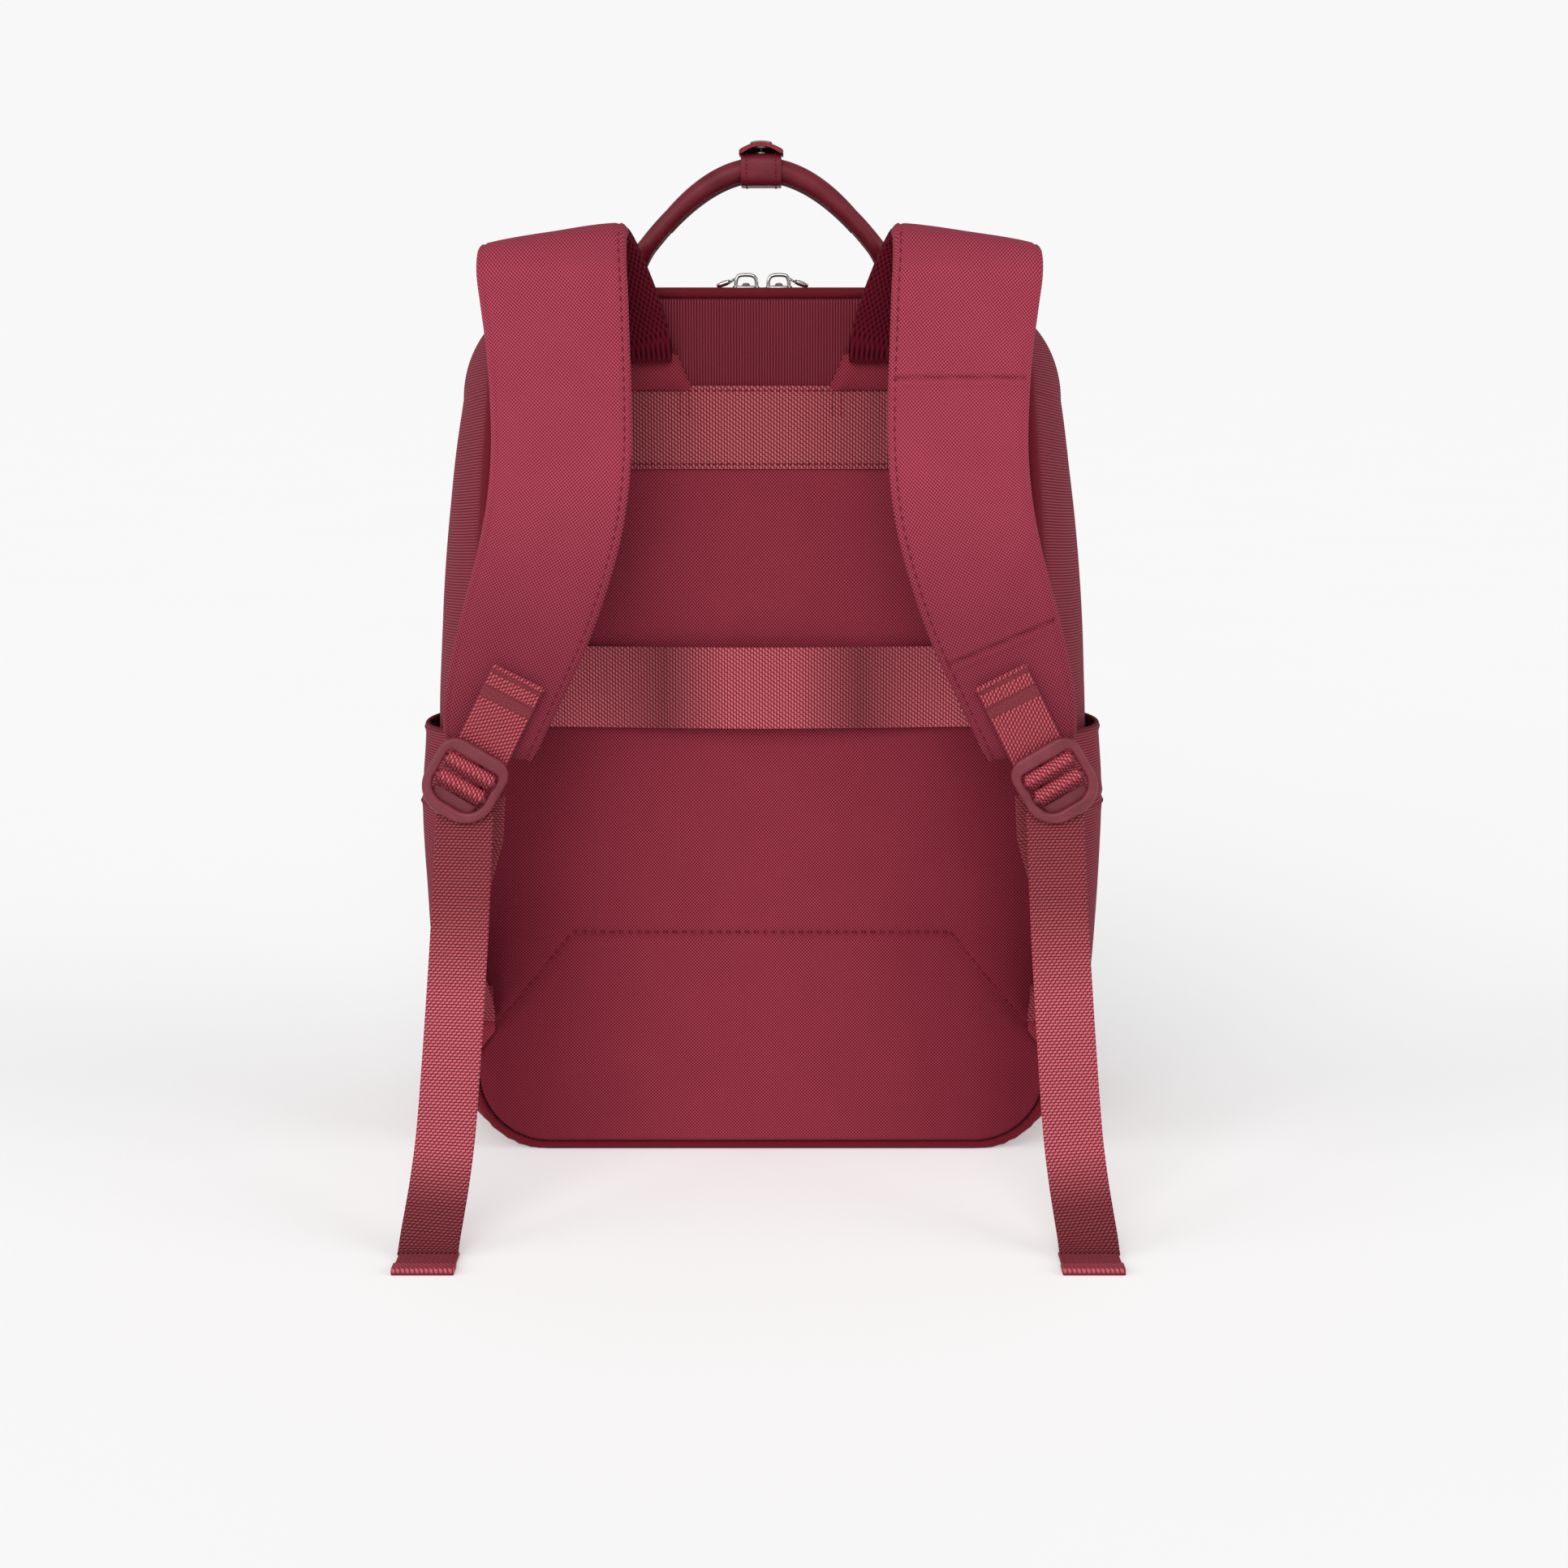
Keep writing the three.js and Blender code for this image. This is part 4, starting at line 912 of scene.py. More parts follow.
# ---- front pocket ----
FRONT_POCKET = {"half": 107, "bottom": 62, "top": 236, "corner": 22, "depth": 5}
POCKET_ZIP_Z = 243


def front_pocket():
    middle = (FRONT_POCKET["top"] + FRONT_POCKET["bottom"]) / 2
    half_z = (FRONT_POCKET["top"] - FRONT_POCKET["bottom"]) / 2
    rim = box_ring(FRONT_POCKET["half"], half_z, FRONT_POCKET["corner"], 10)
    rings, uv = [], []
    steps = 26
    for t in np.arange(steps) / steps:
        scale = 1 - t ** 1.1
        depth = 5.2 * min(1, (1 - scale) * 12) ** 0.5 + 2.6 * (1 - scale) ** 0.5
        row = []
        for x, z in rim:
            wave = 0.5 * ripple(x * scale, 5, z * scale, 30, 21) * min(1, t * 3)
            row.append((x * scale, FRONT_Y + 0.4 + depth + wave, middle + z * scale))
        rings.append(row)
        uv.append(wrap([(p[0], p[2]) for p in row]))
    rings.insert(0, [(x, FRONT_Y + 0.4, middle + z) for x, z in rim])
    uv.insert(0, uv[0])
    obj = loft("front_pocket_cloth", rings, uv, [PANEL], sharp=60)
    piece(obj, "front_cover", "shell_fabric", "front_pocket")
    ring = [(x * 1.004, FRONT_Y + 2.6, middle + z * 1.004) for x, z in rim]
    piece(tube("front_pocket_piping", ring, 1.6, TAPE, 10, closed=True, up=ACROSS_Y), "front_cover", "zip_tape")
    tape = [(x, FRONT_Y + 1.6, POCKET_ZIP_Z) for x in np.linspace(-102, 102, 60)]
    obj = ribbon("front_pocket_zip_tape", tape, ACROSS_Z, lambda i, v: box_ring(6, 0.7, 0.5, 2), [ZIP_TAPE], 45)
    piece(obj, "front_cover", "zip_tape", "front_pocket_zip")
    runs = []
    for start in -98 + 1.9 * np.arange(104):
        for x, side in ((start, -1), (start + 0.95, 1)):
            foot, tip = POCKET_ZIP_Z + side * 2.2, POCKET_ZIP_Z - side * 0.3
            runs.append([(x, FRONT_Y + 2.6, foot), (x, FRONT_Y + 2.7, tip)])
    piece(stitches("front_pocket_coil", runs, 2.3, 2.4, 0.5, COIL), "front_cover", "zip_tape")


# ---- side pockets ----
SIDE_POCKET = {"rear": 12, "front": 99, "start": 0.208, "top": 199, "bulge": 8.5, "cloth": 1.8, "seam": 164}


def side_pocket(side, name):
    top = share_at_height(SIDE_POCKET["top"])
    seam = share_at_height(SIDE_POCKET["seam"])
    heights = np.concatenate([np.linspace(0, 0.72, 34, endpoint=False), np.linspace(0.72, 1, 40)])
    depths = np.linspace(0, 1, 44)
    mm_per_share = 690

    def grid(extra):
        rows = []
        for h in heights:
            share = SIDE_POCKET["start"] + (top - SIDE_POCKET["start"]) * h
            row = []
            for t in depths:
                from_bottom = min(1, h / 0.24) ** 0.45
                drawn_in = 1 - 0.34 * max(0, (share - seam) / (top - seam)) ** 0.7
                bulge = SIDE_POCKET["bulge"] * math.sin(math.pi * t) ** 0.7 * from_bottom * drawn_in
                y = SIDE_POCKET["rear"] + (SIDE_POCKET["front"] - SIDE_POCKET["rear"]) * t
                near_seam = (share - seam) * mm_per_share
                out = extra
                if extra > 0:
                    middle = math.sin(math.pi * t)
                    out += 0.55 * (near_seam > 0) - 0.9 * bell(near_seam, 1.3)
                    out += 0.9 * bell((share - top) * mm_per_share + 1.4, 1.5)
                    out += 0.5 * ripple(0, y, h * 150, 26, 31 + side) * middle * min(1, h * 4)
                    out += 0.3 * math.sin(h * 60 + 5 * t) * bell(near_seam, 9) * middle
                row.append(shell_point(side * share, y, -(GAP + bulge + out)))
            rows.append(row)
        return rows

    outer, inner = grid(SIDE_POCKET["cloth"] - 0.4), grid(0.0)
    v = along_outline([SIDE_POCKET["start"] + (top - SIDE_POCKET["start"]) * h for h in heights])
    uv = [[(t * 95, row_v) for t in depths] for row_v in v]
    obj = sheet(f"side_pocket_{name}_cloth", outer, inner, uv, [RIBBED, LINING], inner_slot=1)
    piece(obj, "root", "shell_fabric", f"side_pocket_{name}")
    outer = np.array(outer)
    row = int(np.argmin(np.abs(SIDE_POCKET["start"] + (top - SIDE_POCKET["start"]) * heights - seam))) - 2
    offset = np.array([0.3 * side, 0, 0])
    piece(stitches(f"side_pocket_{name}_stitches", [outer[row] + offset], 2.4, 3.4, 0.32, THREAD), "root",
          "shell_fabric")
    rim = [(outer[-1][k] + np.array(inner[-1][k])) / 2 for k in range(len(depths))]
    piece(tube(f"side_pocket_{name}_rim", rim, 1.25, TAPE, 10, up=ACROSS_X), "root", "zip_tape")


# ---- cross bands ----
def band(name, half, z, bow, node, seed, material):
    """A cross band: webbing along the panel that bows out between its ends, with a crease near each."""
    x = np.linspace(-half, half, 150)
    y = -(WEBBING / 2 + GAP) - bow * np.cos(math.pi / 2 * x / half) ** 2 - 0.5
    path = np.stack([x, y, np.full_like(x, z)], 1)
    half_width = BAND_WIDTH / 2

    def section(i, v):
        points = []
        outer = np.linspace(-1, 1, 21)
        crease = 0.35 * ripple(x[i], 0, z, 7, seed) * min(1, abs(x[i]) / 60) ** 2
        for t in outer:
            edge = 0.35 * math.exp(-((1 - abs(t)) * half_width / 0.9) ** 2)
            points.append((t * half_width, WEBBING / 2 - edge + crease * (1 - t * t)))
        for t in outer[::-1]:
            points.append((t * half_width, -WEBBING / 2 + 0.2 * (abs(t) > 0.99)))
        return points

    piece(ribbon(name, path, ACROSS_Z, section, [material]), "root", "webbing", node)


def bands():
    band("upper_band_webbing", 114, UPPER_BAND_Z, 0, "upper_band", 2, UPPER_WEBBING)
    band("trolley_band_webbing", 126, TROLLEY_BAND_Z, 7, "trolley_band", 5, TROLLEY_WEBBING)
    runs = []
    y = -(WEBBING + GAP) - 0.75
    for edge in (1, -1):
        z = UPPER_BAND_Z + edge * (BAND_WIDTH / 2 - 2.2)
        runs.append([(x, y, z) for x in np.linspace(-112, 112, 80)])
    for side in (-1, 1):
        for x in (33, 37):
            runs.append([(side * x, y, UPPER_BAND_Z + BAND_WIDTH / 2 - 3 - k) for k in range(0, 12)])
    piece(stitches("band_stitches", runs, 2.0, 2.9, 0.34, THREAD), "root", "webbing")


# ---- carry handle ----
HANDLE = {"y": 57, "spread": 7, "crest": 467.2, "drop": 0.0116, "half": 63, "radius": 5.5}


def handle_cord(side, name):
    """A rolled leather cord that flattens and gathers towards its ends, where it is sewn to the patches."""
    xs = np.linspace(-1, 1, 121) * HANDLE["half"]
    sides = 24
    rings, centres, seam = [], [], []
    for x in xs:
        slope = -2 * HANDLE["drop"] * x
        size = math.hypot(1, slope)
        t = min(1, (1 - abs(x) / HANDLE["half"]) / 0.14)
        gather = t * t * (3 - 2 * t)
        offset = 1.75 + (HANDLE["spread"] - 1.75) * gather
        slim = min(1, abs(x) / 42) ** 2
        tall = 6.4 + (HANDLE["radius"] - 6.4) * gather - 1.25 * slim * gather
        wide = 1.4 + (HANDLE["radius"] - 1.4) * gather
        z = HANDLE["crest"] - HANDLE["drop"] * x * x - 1.5 * slim
        centre = np.array([x, HANDLE["y"] + side * offset, z])
        centres.append(centre)
        ring = []
        for angle in round_angles(sides):
            pinch = 1 - 0.05 * math.exp(-((angle - math.pi) / 0.2) ** 2)
            ring.append(centre + np.array([-slope / size * tall * math.cos(angle) * pinch,
                                           wide * math.sin(angle) * pinch,
                                           tall / size * math.cos(angle) * pinch]))
        rings.append(ring)
        seam.append(centre + np.array([slope / size * tall * 0.93, 0, -tall / size * 0.93]))
    uv = [[(k * 1.4, length) for k in range(sides + 1)] for length in run_lengths(centres)]
    obj = loft(f"handle_cord_{name}_leather", rings, uv, [LEATHER])
    blend_handle(piece(obj, None, "handle_leather", f"handle_cord_{name}"))
    obj = tube(f"handle_cord_{name}_seam", seam[16:-16], 0.4, DARK_THREAD, 8)
    blend_handle(piece(obj, None, "handle_leather"))


def blend_handle(obj):
    """The handle's piece has its placement baked into its mesh."""
    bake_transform(obj)


def handle_feet():
    """The gathered cord ends turn down onto leather patches sewn to the top."""
    for side, name in ((-1, "left"), (1, "right")):
        patch_x = side * (HANDLE["half"] + 5)
        shares = np.linspace(0, 1, 14)
        points = [(side * (HANDLE["half"] - 3 + 4.5 * t), HANDLE["y"], 421.5 - 8.4 * t) for t in shares]
        flattened = lambda i, v: box_ring(2.9 + 3.4 * shares[i] ** 2, 2.2 - 0.9 * shares[i], 1.2, 3)
        obj = ribbon(f"handle_foot_{name}", points, ACROSS_Y, flattened, [LEATHER], 45)
        blend_handle(piece(obj, None, "handle_leather"))
        outline = box_ring(15, 11, 6, 6)
        place = lambda x, y, z, c=patch_x: (c + x, HANDLE["y"] + y, 411.4 + z)
        obj = extruded(f"handle_patch_{name}", outline, [], 2.2, 0.6, LEATHER, place)
        piece(obj, "root", "handle_leather", f"handle_anchor_{name}")
        run = wrap([(patch_x + x, HANDLE["y"] + y, 412.55) for x, y in box_ring(13, 9, 4.5, 6)])
        thread = stitches(f"handle_patch_{name}_stitches", [run], 1.8, 2.7, 0.33, THREAD)
        piece(thread, "root", "handle_leather")


WRAP = {"half": 9.6, "bottom": 459.2, "top": 474.3, "wall": 1.4, "stitch_x": 6.9}
FLAP = {"half": 10.5, "crest": 479.2, "arch": 0.03, "thick": 1.8, "front": 41, "back": 72.6}
SNAP_Y = 51


def handle_wrap():
    middle = (WRAP["top"] + WRAP["bottom"]) / 2
    half_y = HANDLE["spread"] + HANDLE["radius"] + 0.4 + WRAP["wall"]
    half_z = (WRAP["top"] - WRAP["bottom"]) / 2
    outer = [(HANDLE["y"] + a, middle + b) for a, b in box_ring(half_y, half_z, 5.2, 7)]
    inner = [(HANDLE["y"] + a, middle + b)
             for a, b in box_ring(half_y - WRAP["wall"], half_z - WRAP["wall"], 4.0, 7)]
    xs = [-1, -0.985, -0.95, *np.linspace(-0.9, 0.9, 9), 0.95, 0.985, 1]

    def grid(ring, edge_drop):
        rows = []
        for t in xs:
            drop = edge_drop * max(0, (abs(t) - 0.94) / 0.06) ** 2
            row = []
            for y, z in [*ring, ring[0]]:
                shrink = np.array([y - HANDLE["y"], z - middle])
                shrink = shrink * (1 - drop / np.linalg.norm(shrink))
                row.append((t * WRAP["half"], HANDLE["y"] + shrink[0], middle + shrink[1]))
            rows.append(row)
        return rows

    outer_grid, inner_grid = grid(outer, 0.5), grid(inner, 0.0)
    uv = [[(t * WRAP["half"], k * 1.5) for k in range(len(outer) + 1)] for t in xs]
    obj = sheet("handle_wrap_leather", outer_grid, inner_grid, uv, [LEATHER])
    mend(obj.data, merge=0.000005, outward=False)
    piece(obj, "top_handle", "handle_leather", "handle_wrap")
    runs = [wrap([(x, HANDLE["y"] + a, middle + b) for a, b in box_ring(half_y + 0.12, half_z + 0.12, 5.3, 7)])
            for x in (-WRAP["stitch_x"], WRAP["stitch_x"])]
    piece(stitches("handle_wrap_stitches", runs, 1.15, 1.9, 0.36, THREAD), "top_handle", "handle_leather")


def snap_flap():
    rounding = 0.35
    across = np.linspace(-1, 1, 41)
    deep = np.linspace(0, 1, 30)

    def grid(drop):
        rows = []
        for t in across:
            row = []
            for d in deep:
                nose = 0.84 + 0.16 * min(1, d / 0.12) ** 0.5
                x = t * FLAP["half"] * nose
                y = FLAP["front"] + (FLAP["back"] - FLAP["front"]) * d
                z = FLAP["crest"] - FLAP["arch"] * (t * FLAP["half"]) ** 2 - drop
                if drop == 0:
                    z -= rounding * (1 - min(1, (1 - abs(t)) / 0.05))
                row.append((x, y, z))
            rows.append(row)
        return rows

    top, under = grid(0.0), grid(FLAP["thick"])
    uv = [[(p[0], p[1]) for p in row] for row in top]
    obj = sheet("snap_flap_leather", top, under, uv, [EDGE_PAINT, LEATHER], inner_slot=1, face_slot=lambda p: 1)
    piece(obj, "snap_flap", "handle_leather", "snap_flap")


def flap_fold():
    """The wrap's leather carries on into the flap behind the handle."""
    path, _ = spline([(0, 71.4, 466), (0, 72.4, 470), (0, 72.8, 473.5), (0, 72.4, 476.6), (0, 70.6, 478.0)], 40)
    section = webbing_section(2 * WRAP["half"], 1.2)
    obj = ribbon("snap_flap_fold", path, ACROSS_X, lambda i, v: section, [LEATHER], 45)
    for vertex in obj.data.vertices:
        rise = min(1, max(0, (vertex.co.z / MM - 468) / 8))
        vertex.co.z -= MM * FLAP["arch"] * (vertex.co.x / MM) ** 2 * rise
    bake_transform(piece(obj, None, "handle_leather"))


def turned(name, profile, place, sides=40):
    """A round chrome piece from (radius, height) points. place turns a local (x, y, z) into the model's."""
    angles = round_angles(sides)
    rings = [[place(r * math.cos(a), r * math.sin(a), height) for a in angles] for r, height in profile]
    uv = [[(r * a, height) for a in [*angles, 2 * math.pi]] for r, height in profile]
    return loft(name, rings, uv, [CHROME], sharp=40)


def snap():
    at = lambda height: lambda x, y, z: (x, SNAP_Y + y, height + z)
    stud = [(3.9, 0), (3.9, 0.35), (3.5, 0.6), (2.5, 0.65), (2.1, 0.9), (1.9, 1.5), (2.2, 2.0), (2.0, 2.4),
            (1.2, 2.6), (0.2, 2.65)]
    piece(turned("snap_stud_metal", stud, at(WRAP["top"] + 0.05)), "top_handle", "chrome_metal", "snap_stud")
    cap = [(5.3, 0), (5.2, 0.4), (4.7, 0.8), (3.4, 1.15), (1.8, 1.35), (0.2, 1.4)]
    piece(turned("snap_cap_metal", cap, at(FLAP["crest"] - 0.1)), "snap_flap", "chrome_metal", "snap_cap")
    socket = [(5.2, 0), (5.2, -0.5), (4.9, -0.8), (3.6, -0.9), (3.3, -0.4), (2.6, -0.3), (2.6, 0.1), (0.2, 0.1)]
    socket_obj = turned("snap_socket_metal", socket, at(FLAP["crest"] - FLAP["thick"] - 0.1))
    piece(socket_obj, "snap_flap", "chrome_metal")


# ---- shoulder straps ----
# The right strap's middle line and its width, from its foot over the crest to its end, as (x, y, z, width).
STRAP_PATH = [
    (72.7, -8.2, 379.5, 65.5), (73, -9.4, 382.5, 66), (77, -10.6, 394, 67), (81.5, -11.2, 406, 67),
    (86, -12.8, 417, 67),
    (90, -17, 425.5, 67), (92, -24, 430, 67), (92.6, -31.5, 427.5, 67), (92.5, -37, 419, 67),
    (91.3, -40.5, 407, 66), (89.6, -43.5, 386, 64), (88.4, -46, 362, 63), (88.4, -48.5, 337, 62.5),
    (91, -51, 312, 62), (96.5, -53.5, 288, 60.5), (104, -55.5, 264, 58.5), (112.2, -57, 241, 54),
    (118.2, -58, 222, 48.5), (122, -58.6, 204.5, 41),
]
STRAP_ROLL = 0.15
PAD = {"thick": 10.6, "lining": 2.4, "gap": 0.3}
STRAP_SEAMS = (370.4, 254)  # heights of the right strap's two cross seams


def strap_frames(count):
    """The left strap's points, widths, lengths, crest, and directions across and through it."""
    path, lengths = spline([(-x, y, z, w) for x, y, z, w in STRAP_PATH], count)
    crest = int(np.argmax(path[:, 2]))
    near = np.clip(1 - np.abs(lengths - lengths[crest]) / 60, 0, 1)
    across = np.stack([np.ones(count), np.zeros(count), STRAP_ROLL * near], 1)
    _, across, through = frames(path[:, :3], across)
    return path[:, :3], path[:, 3], lengths, crest, across, through


def pad_section(width, thick, extra):
    """The pad's section as (across, through), from the outer face round to the inner one."""
    half, depth = width / 2, thick / 2
    points = []
    for t in np.linspace(-1, 1, 47):
        x = t * (half - 3.2)
        crown = 1.5 * (1 - (1 - abs(t) ** 3))
        groove = 0.6 * math.exp(-((abs(x) - (half - 3.0)) / 0.7) ** 2)
        points.append((x, -depth + crown + groove + extra(x / half)))
    rim = [-math.pi / 2 + math.pi * k / 9 for k in range(1, 9)]
    points += [(half - 3.2 + 3.2 * math.cos(a), 0.6 + (depth - 0.9) * math.sin(a)) for a in rim]
    points += [(t * (half - 3.2), depth - 0.3) for t in np.linspace(1, -1, 21)]
    return points + [(-(half - 3.2) - 3.2 * math.cos(a), 0.6 - (depth - 0.9) * math.sin(a)) for a in rim]


def foot_share(length):
    """The strap thins where its foot is sewn under the anchor tab."""
    return 0.3 + 0.7 * min(1, length / 15)


def shoulder_strap(side, name):
    count = 400
    path, width, lengths, crest, across, through = strap_frames(count)
    from_end = lengths[-1] - lengths
    hanging = slice(crest, None)
    seams = [np.interp(-z, -path[hanging, 2], lengths[hanging]) for z in STRAP_SEAMS] if side > 0 else []
    rings, uv, line = [], [], []
    for i in range(count):
        shrink = (1 - 0.14 * max(0, 1 - from_end[i] / 25)) * foot_share(lengths[i])
        end_round = min(1, (from_end[i] + 1.0) / 7) ** 0.5 * min(1, (lengths[i] + 2) / 6) ** 0.4

        def extra(t, i=i):
            value = 0.45 * ripple(t * 30, 0, lengths[i], 24, 41 + side)
            for place in seams:
                away = lengths[i] - place - 1.5 * t
                value += 1.5 * math.exp(-(away / 0.9) ** 2) - 0.7 * math.exp(-((away - 2.6) / 1.6) ** 2)
            return value

        thick = PAD["thick"] * shrink * end_round
        section = np.array(pad_section(width[i] * (0.93 + 0.07 * end_round), thick, extra))
        rings.append(path[i] + section[:, :1] * across[i] + section[:, 1:] * through[i])
        uv.append(wrap([(s[0], lengths[i]) for s in section]))
        half = width[i] / 2 - 3.0
        depth = -PAD["thick"] / 2 * shrink + 1.75
        line.append(path[i] + half * across[i] + depth * through[i])
    rings = [mirrored(r, side) for r in rings]
    faced = lambda i, j: 1 if i < crest - 6 and j >= 46 else 0
    obj = loft(f"strap_{name}_cloth", rings, uv, [STRAP_WEAVE, MESH], sharp=70, slot_of=faced)
    piece(obj, None, "strap_fabric", f"riser_pad_{name}", f"strap_pad_{name}")
    blend_strap(obj)
    obj = stitches(f"strap_{name}_stitches", [mirrored(line, side)[crest + 6:]], 2.6, 4.4, 0.27, STRAP_THREAD)
    blend_strap(piece(obj, None, "strap_fabric"))

    rings, uv = [], []
    for i in range(count):
        half = 0.49 * width[i]
        lift = PAD["thick"] / 2 * foot_share(lengths[i]) + PAD["gap"] + PAD["lining"] / 2 - 0.4
        end_round = min(1, (from_end[i] + 0.4) / 5) ** 0.5
        section = [(t * half, lift - PAD["lining"] / 2) for t in np.linspace(-1, 1, 25)]
        for t in np.linspace(1, -1, 25):
            bulge = PAD["lining"] / 2 * (1 - abs(t) ** 8) * end_round
            section.append((t * half, lift + bulge + 0.25 * ripple(t * 30, 4, lengths[i], 12, 51)))
        section = np.array(section)
        rings.append(mirrored(path[i] + section[:, :1] * across[i] + section[:, 1:] * through[i], side))
        uv.append(wrap([(s[0], lengths[i]) for s in section]))
    obj = loft(f"strap_{name}_mesh", rings, uv, [MESH], sharp=60)
    piece(obj, None, "mesh_lining", f"riser_lining_{name}", f"strap_lining_{name}")
    blend_strap(obj)


def blend_strap(obj):
    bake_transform(obj)


def anchor_tab(side, name):
    """The fabric foot that holds the strap, sewn under the upper band."""
    xs = np.linspace(0, 1, 40)
    rows = np.linspace(0, 1, 16)

    def grid(depth, puff):
        out = []
        for r in rows:
            row = []
            for t in xs:
                low_x, high_x = 31 + 77 * t, 38.5 + 66 * t
                x = low_x + (high_x - low_x) * r
                z = 364.5 + (16.5 + 3.5 * math.sin(math.pi * t) ** 0.6) * r
                swell = puff * math.sin(math.pi * min(1, max(0, r * 0.9 + 0.05))) ** 0.5
                swell *= min(1, 12 * t + 0.2, 12 * (1 - t) + 0.2)
                row.append((side * x, depth - swell - 0.25 * puff * r, z))
            out.append(row)
        return out

    front, back = grid(-1.4, 5.6), grid(-0.4, 0.0)
    uv = [[(p[0], p[2]) for p in row] for row in front]
    obj = sheet(f"strap_anchor_{name}_cloth", front, back, uv, [TAB_WEAVE])
    blend_anchor(piece(obj, None, "shell_fabric", f"strap_anchor_{name}"))
    rim = [np.array(p) + (0, 0.6, 0.2) for p in front[-1]]
    piping = tube(f"strap_anchor_{name}_piping", rim, 1.1, TAPE, 8, up=ACROSS_Y)
    blend_anchor(piece(piping, None, "zip_tape"))


def blend_anchor(obj):
    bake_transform(obj)


# ---- webbing, buckles and tails ----
TILT = math.radians(30.8)
BUCKLE = {"x": 132.5, "y": -69.2, "z": 192.5, "width": 34, "length": 35, "thick": 4.4}
TAIL_PATH = [
    (132.6, -67.6, 172.5), (132.9, -71.2, 160), (133.6, -79.5, 135), (134.4, -89.5, 110),
    (135.6, -104, 77), (137, -118.5, 46), (138.6, -129, 28), (140, -137.5, 16.5),
    (141, -143.5, 9), (141.4, -147, 5), (141.5, -150, 2.6),
]
HEM_SIZE = {"length": 23.25, "width": 27, "thick": 3}
LOWER_PATH = [
    (130.6, -1.6, 66), (131, -3.6, 80), (132.4, -13, 101), (132.6, -27, 126), (131, -42, 150),
    (128.6, -53.5, 172), (127.4, -58, 185),
]
TAB_PATH = {"start": (107, 240), "end": (126.2, 201.4), "y": -65.9}


def buckle_point(side):
    """Turns local (across, up, out) in mm into the model's. Out is away from the bag."""
    across = np.array([math.cos(TILT), 0, side * math.sin(TILT)])
    up = np.array([-side * math.sin(TILT), 0, math.cos(TILT)])
    centre = np.array([side * BUCKLE["x"], BUCKLE["y"], BUCKLE["z"]])
    return lambda a, b, out: tuple(centre + a * across + b * up + np.array([0, -out, 0]))


def webbing_section(width, thick):
    """Webbing's thin section with rounded selvedges."""
    round_edge = 0.7
    flat, depth = width / 2 - round_edge, thick / 2
    turns = [math.pi * k / 5 for k in range(1, 5)]
    points = [(t * flat, -depth) for t in np.linspace(-1, 1, 15)]
    points += [(flat + round_edge * math.sin(a), -depth * math.cos(a)) for a in turns]
    points += [(t * flat, depth) for t in np.linspace(1, -1, 15)]
    return points + [(-flat - round_edge * math.sin(a), depth * math.cos(a)) for a in turns]


def ladder_lock(side, name):
    place = buckle_point(side)
    w, h = BUCKLE["width"] / 2, BUCKLE["length"] / 2
    shoulder, foot = 8.5, 14
    outline = arc(w - shoulder, h - shoulder, shoulder, 0, 11)
    outline += arc(shoulder - w, h - shoulder, shoulder, 90, 11)
    outline += arc(foot - w, foot - h, foot, 180, 17) + arc(w - foot, foot - h, foot, 270, 17)
    window = arc(10.6, 8.5, 2.4, 0, 8) + arc(-10.6, 8.5, 2.4, 90, 8)
    window += arc(-4.2, -3.2, 8.6, 180, 8) + arc(4.2, -3.2, 8.6, 270, 8)
    obj = extruded(f"ladder_lock_{name}_frame", outline, [window], BUCKLE["thick"], 1.5, PLASTIC, place,
                   segments=5)
    piece(obj, f"buckle_{name}", "buckle_plastic", f"ladder_lock_{name}")
    sides = 26
    for k, (centre, half) in enumerate(((6.3, 11.9), (-2.2, 11.5))):
        bar = [place(a, centre, -0.4) for a in np.linspace(-13.2, 13.2, 12)]
        bar_obj = tube(f"ladder_lock_{name}_bar_{k}", bar, 1.9, PLASTIC, 14, up=ACROSS_Y)
        piece(bar_obj, f"buckle_{name}", "buckle_plastic")
        rings, uv = [], []
        for a in np.linspace(-half, half, 34):
            edge = min(1, (half - abs(a)) / 0.8 + 0.35)
            rings.append([place(a, centre + 3.8 * edge * math.sin(angle), 0.2 + 2.75 * edge * math.cos(angle))
                          for angle in round_angles(sides)])
            uv.append([(a, n * 0.8) for n in range(sides + 1)])
        piece(loft(f"ladder_lock_{name}_roll_{k}", rings, uv, [ROLL_WEBBING]), f"buckle_{name}", "webbing")
    tongue = [place(0, b, -1.8) for b in np.linspace(-7.0, -15.0, 10)]
    across = np.array([math.cos(TILT), 0, side * math.sin(TILT)])
    obj = ribbon(f"ladder_lock_{name}_tongue", tongue, across, lambda i, v: webbing_section(22 - 0.35 * i, 1.4),
                 [PLASTIC], 45)
    piece(obj, f"buckle_{name}", "buckle_plastic")


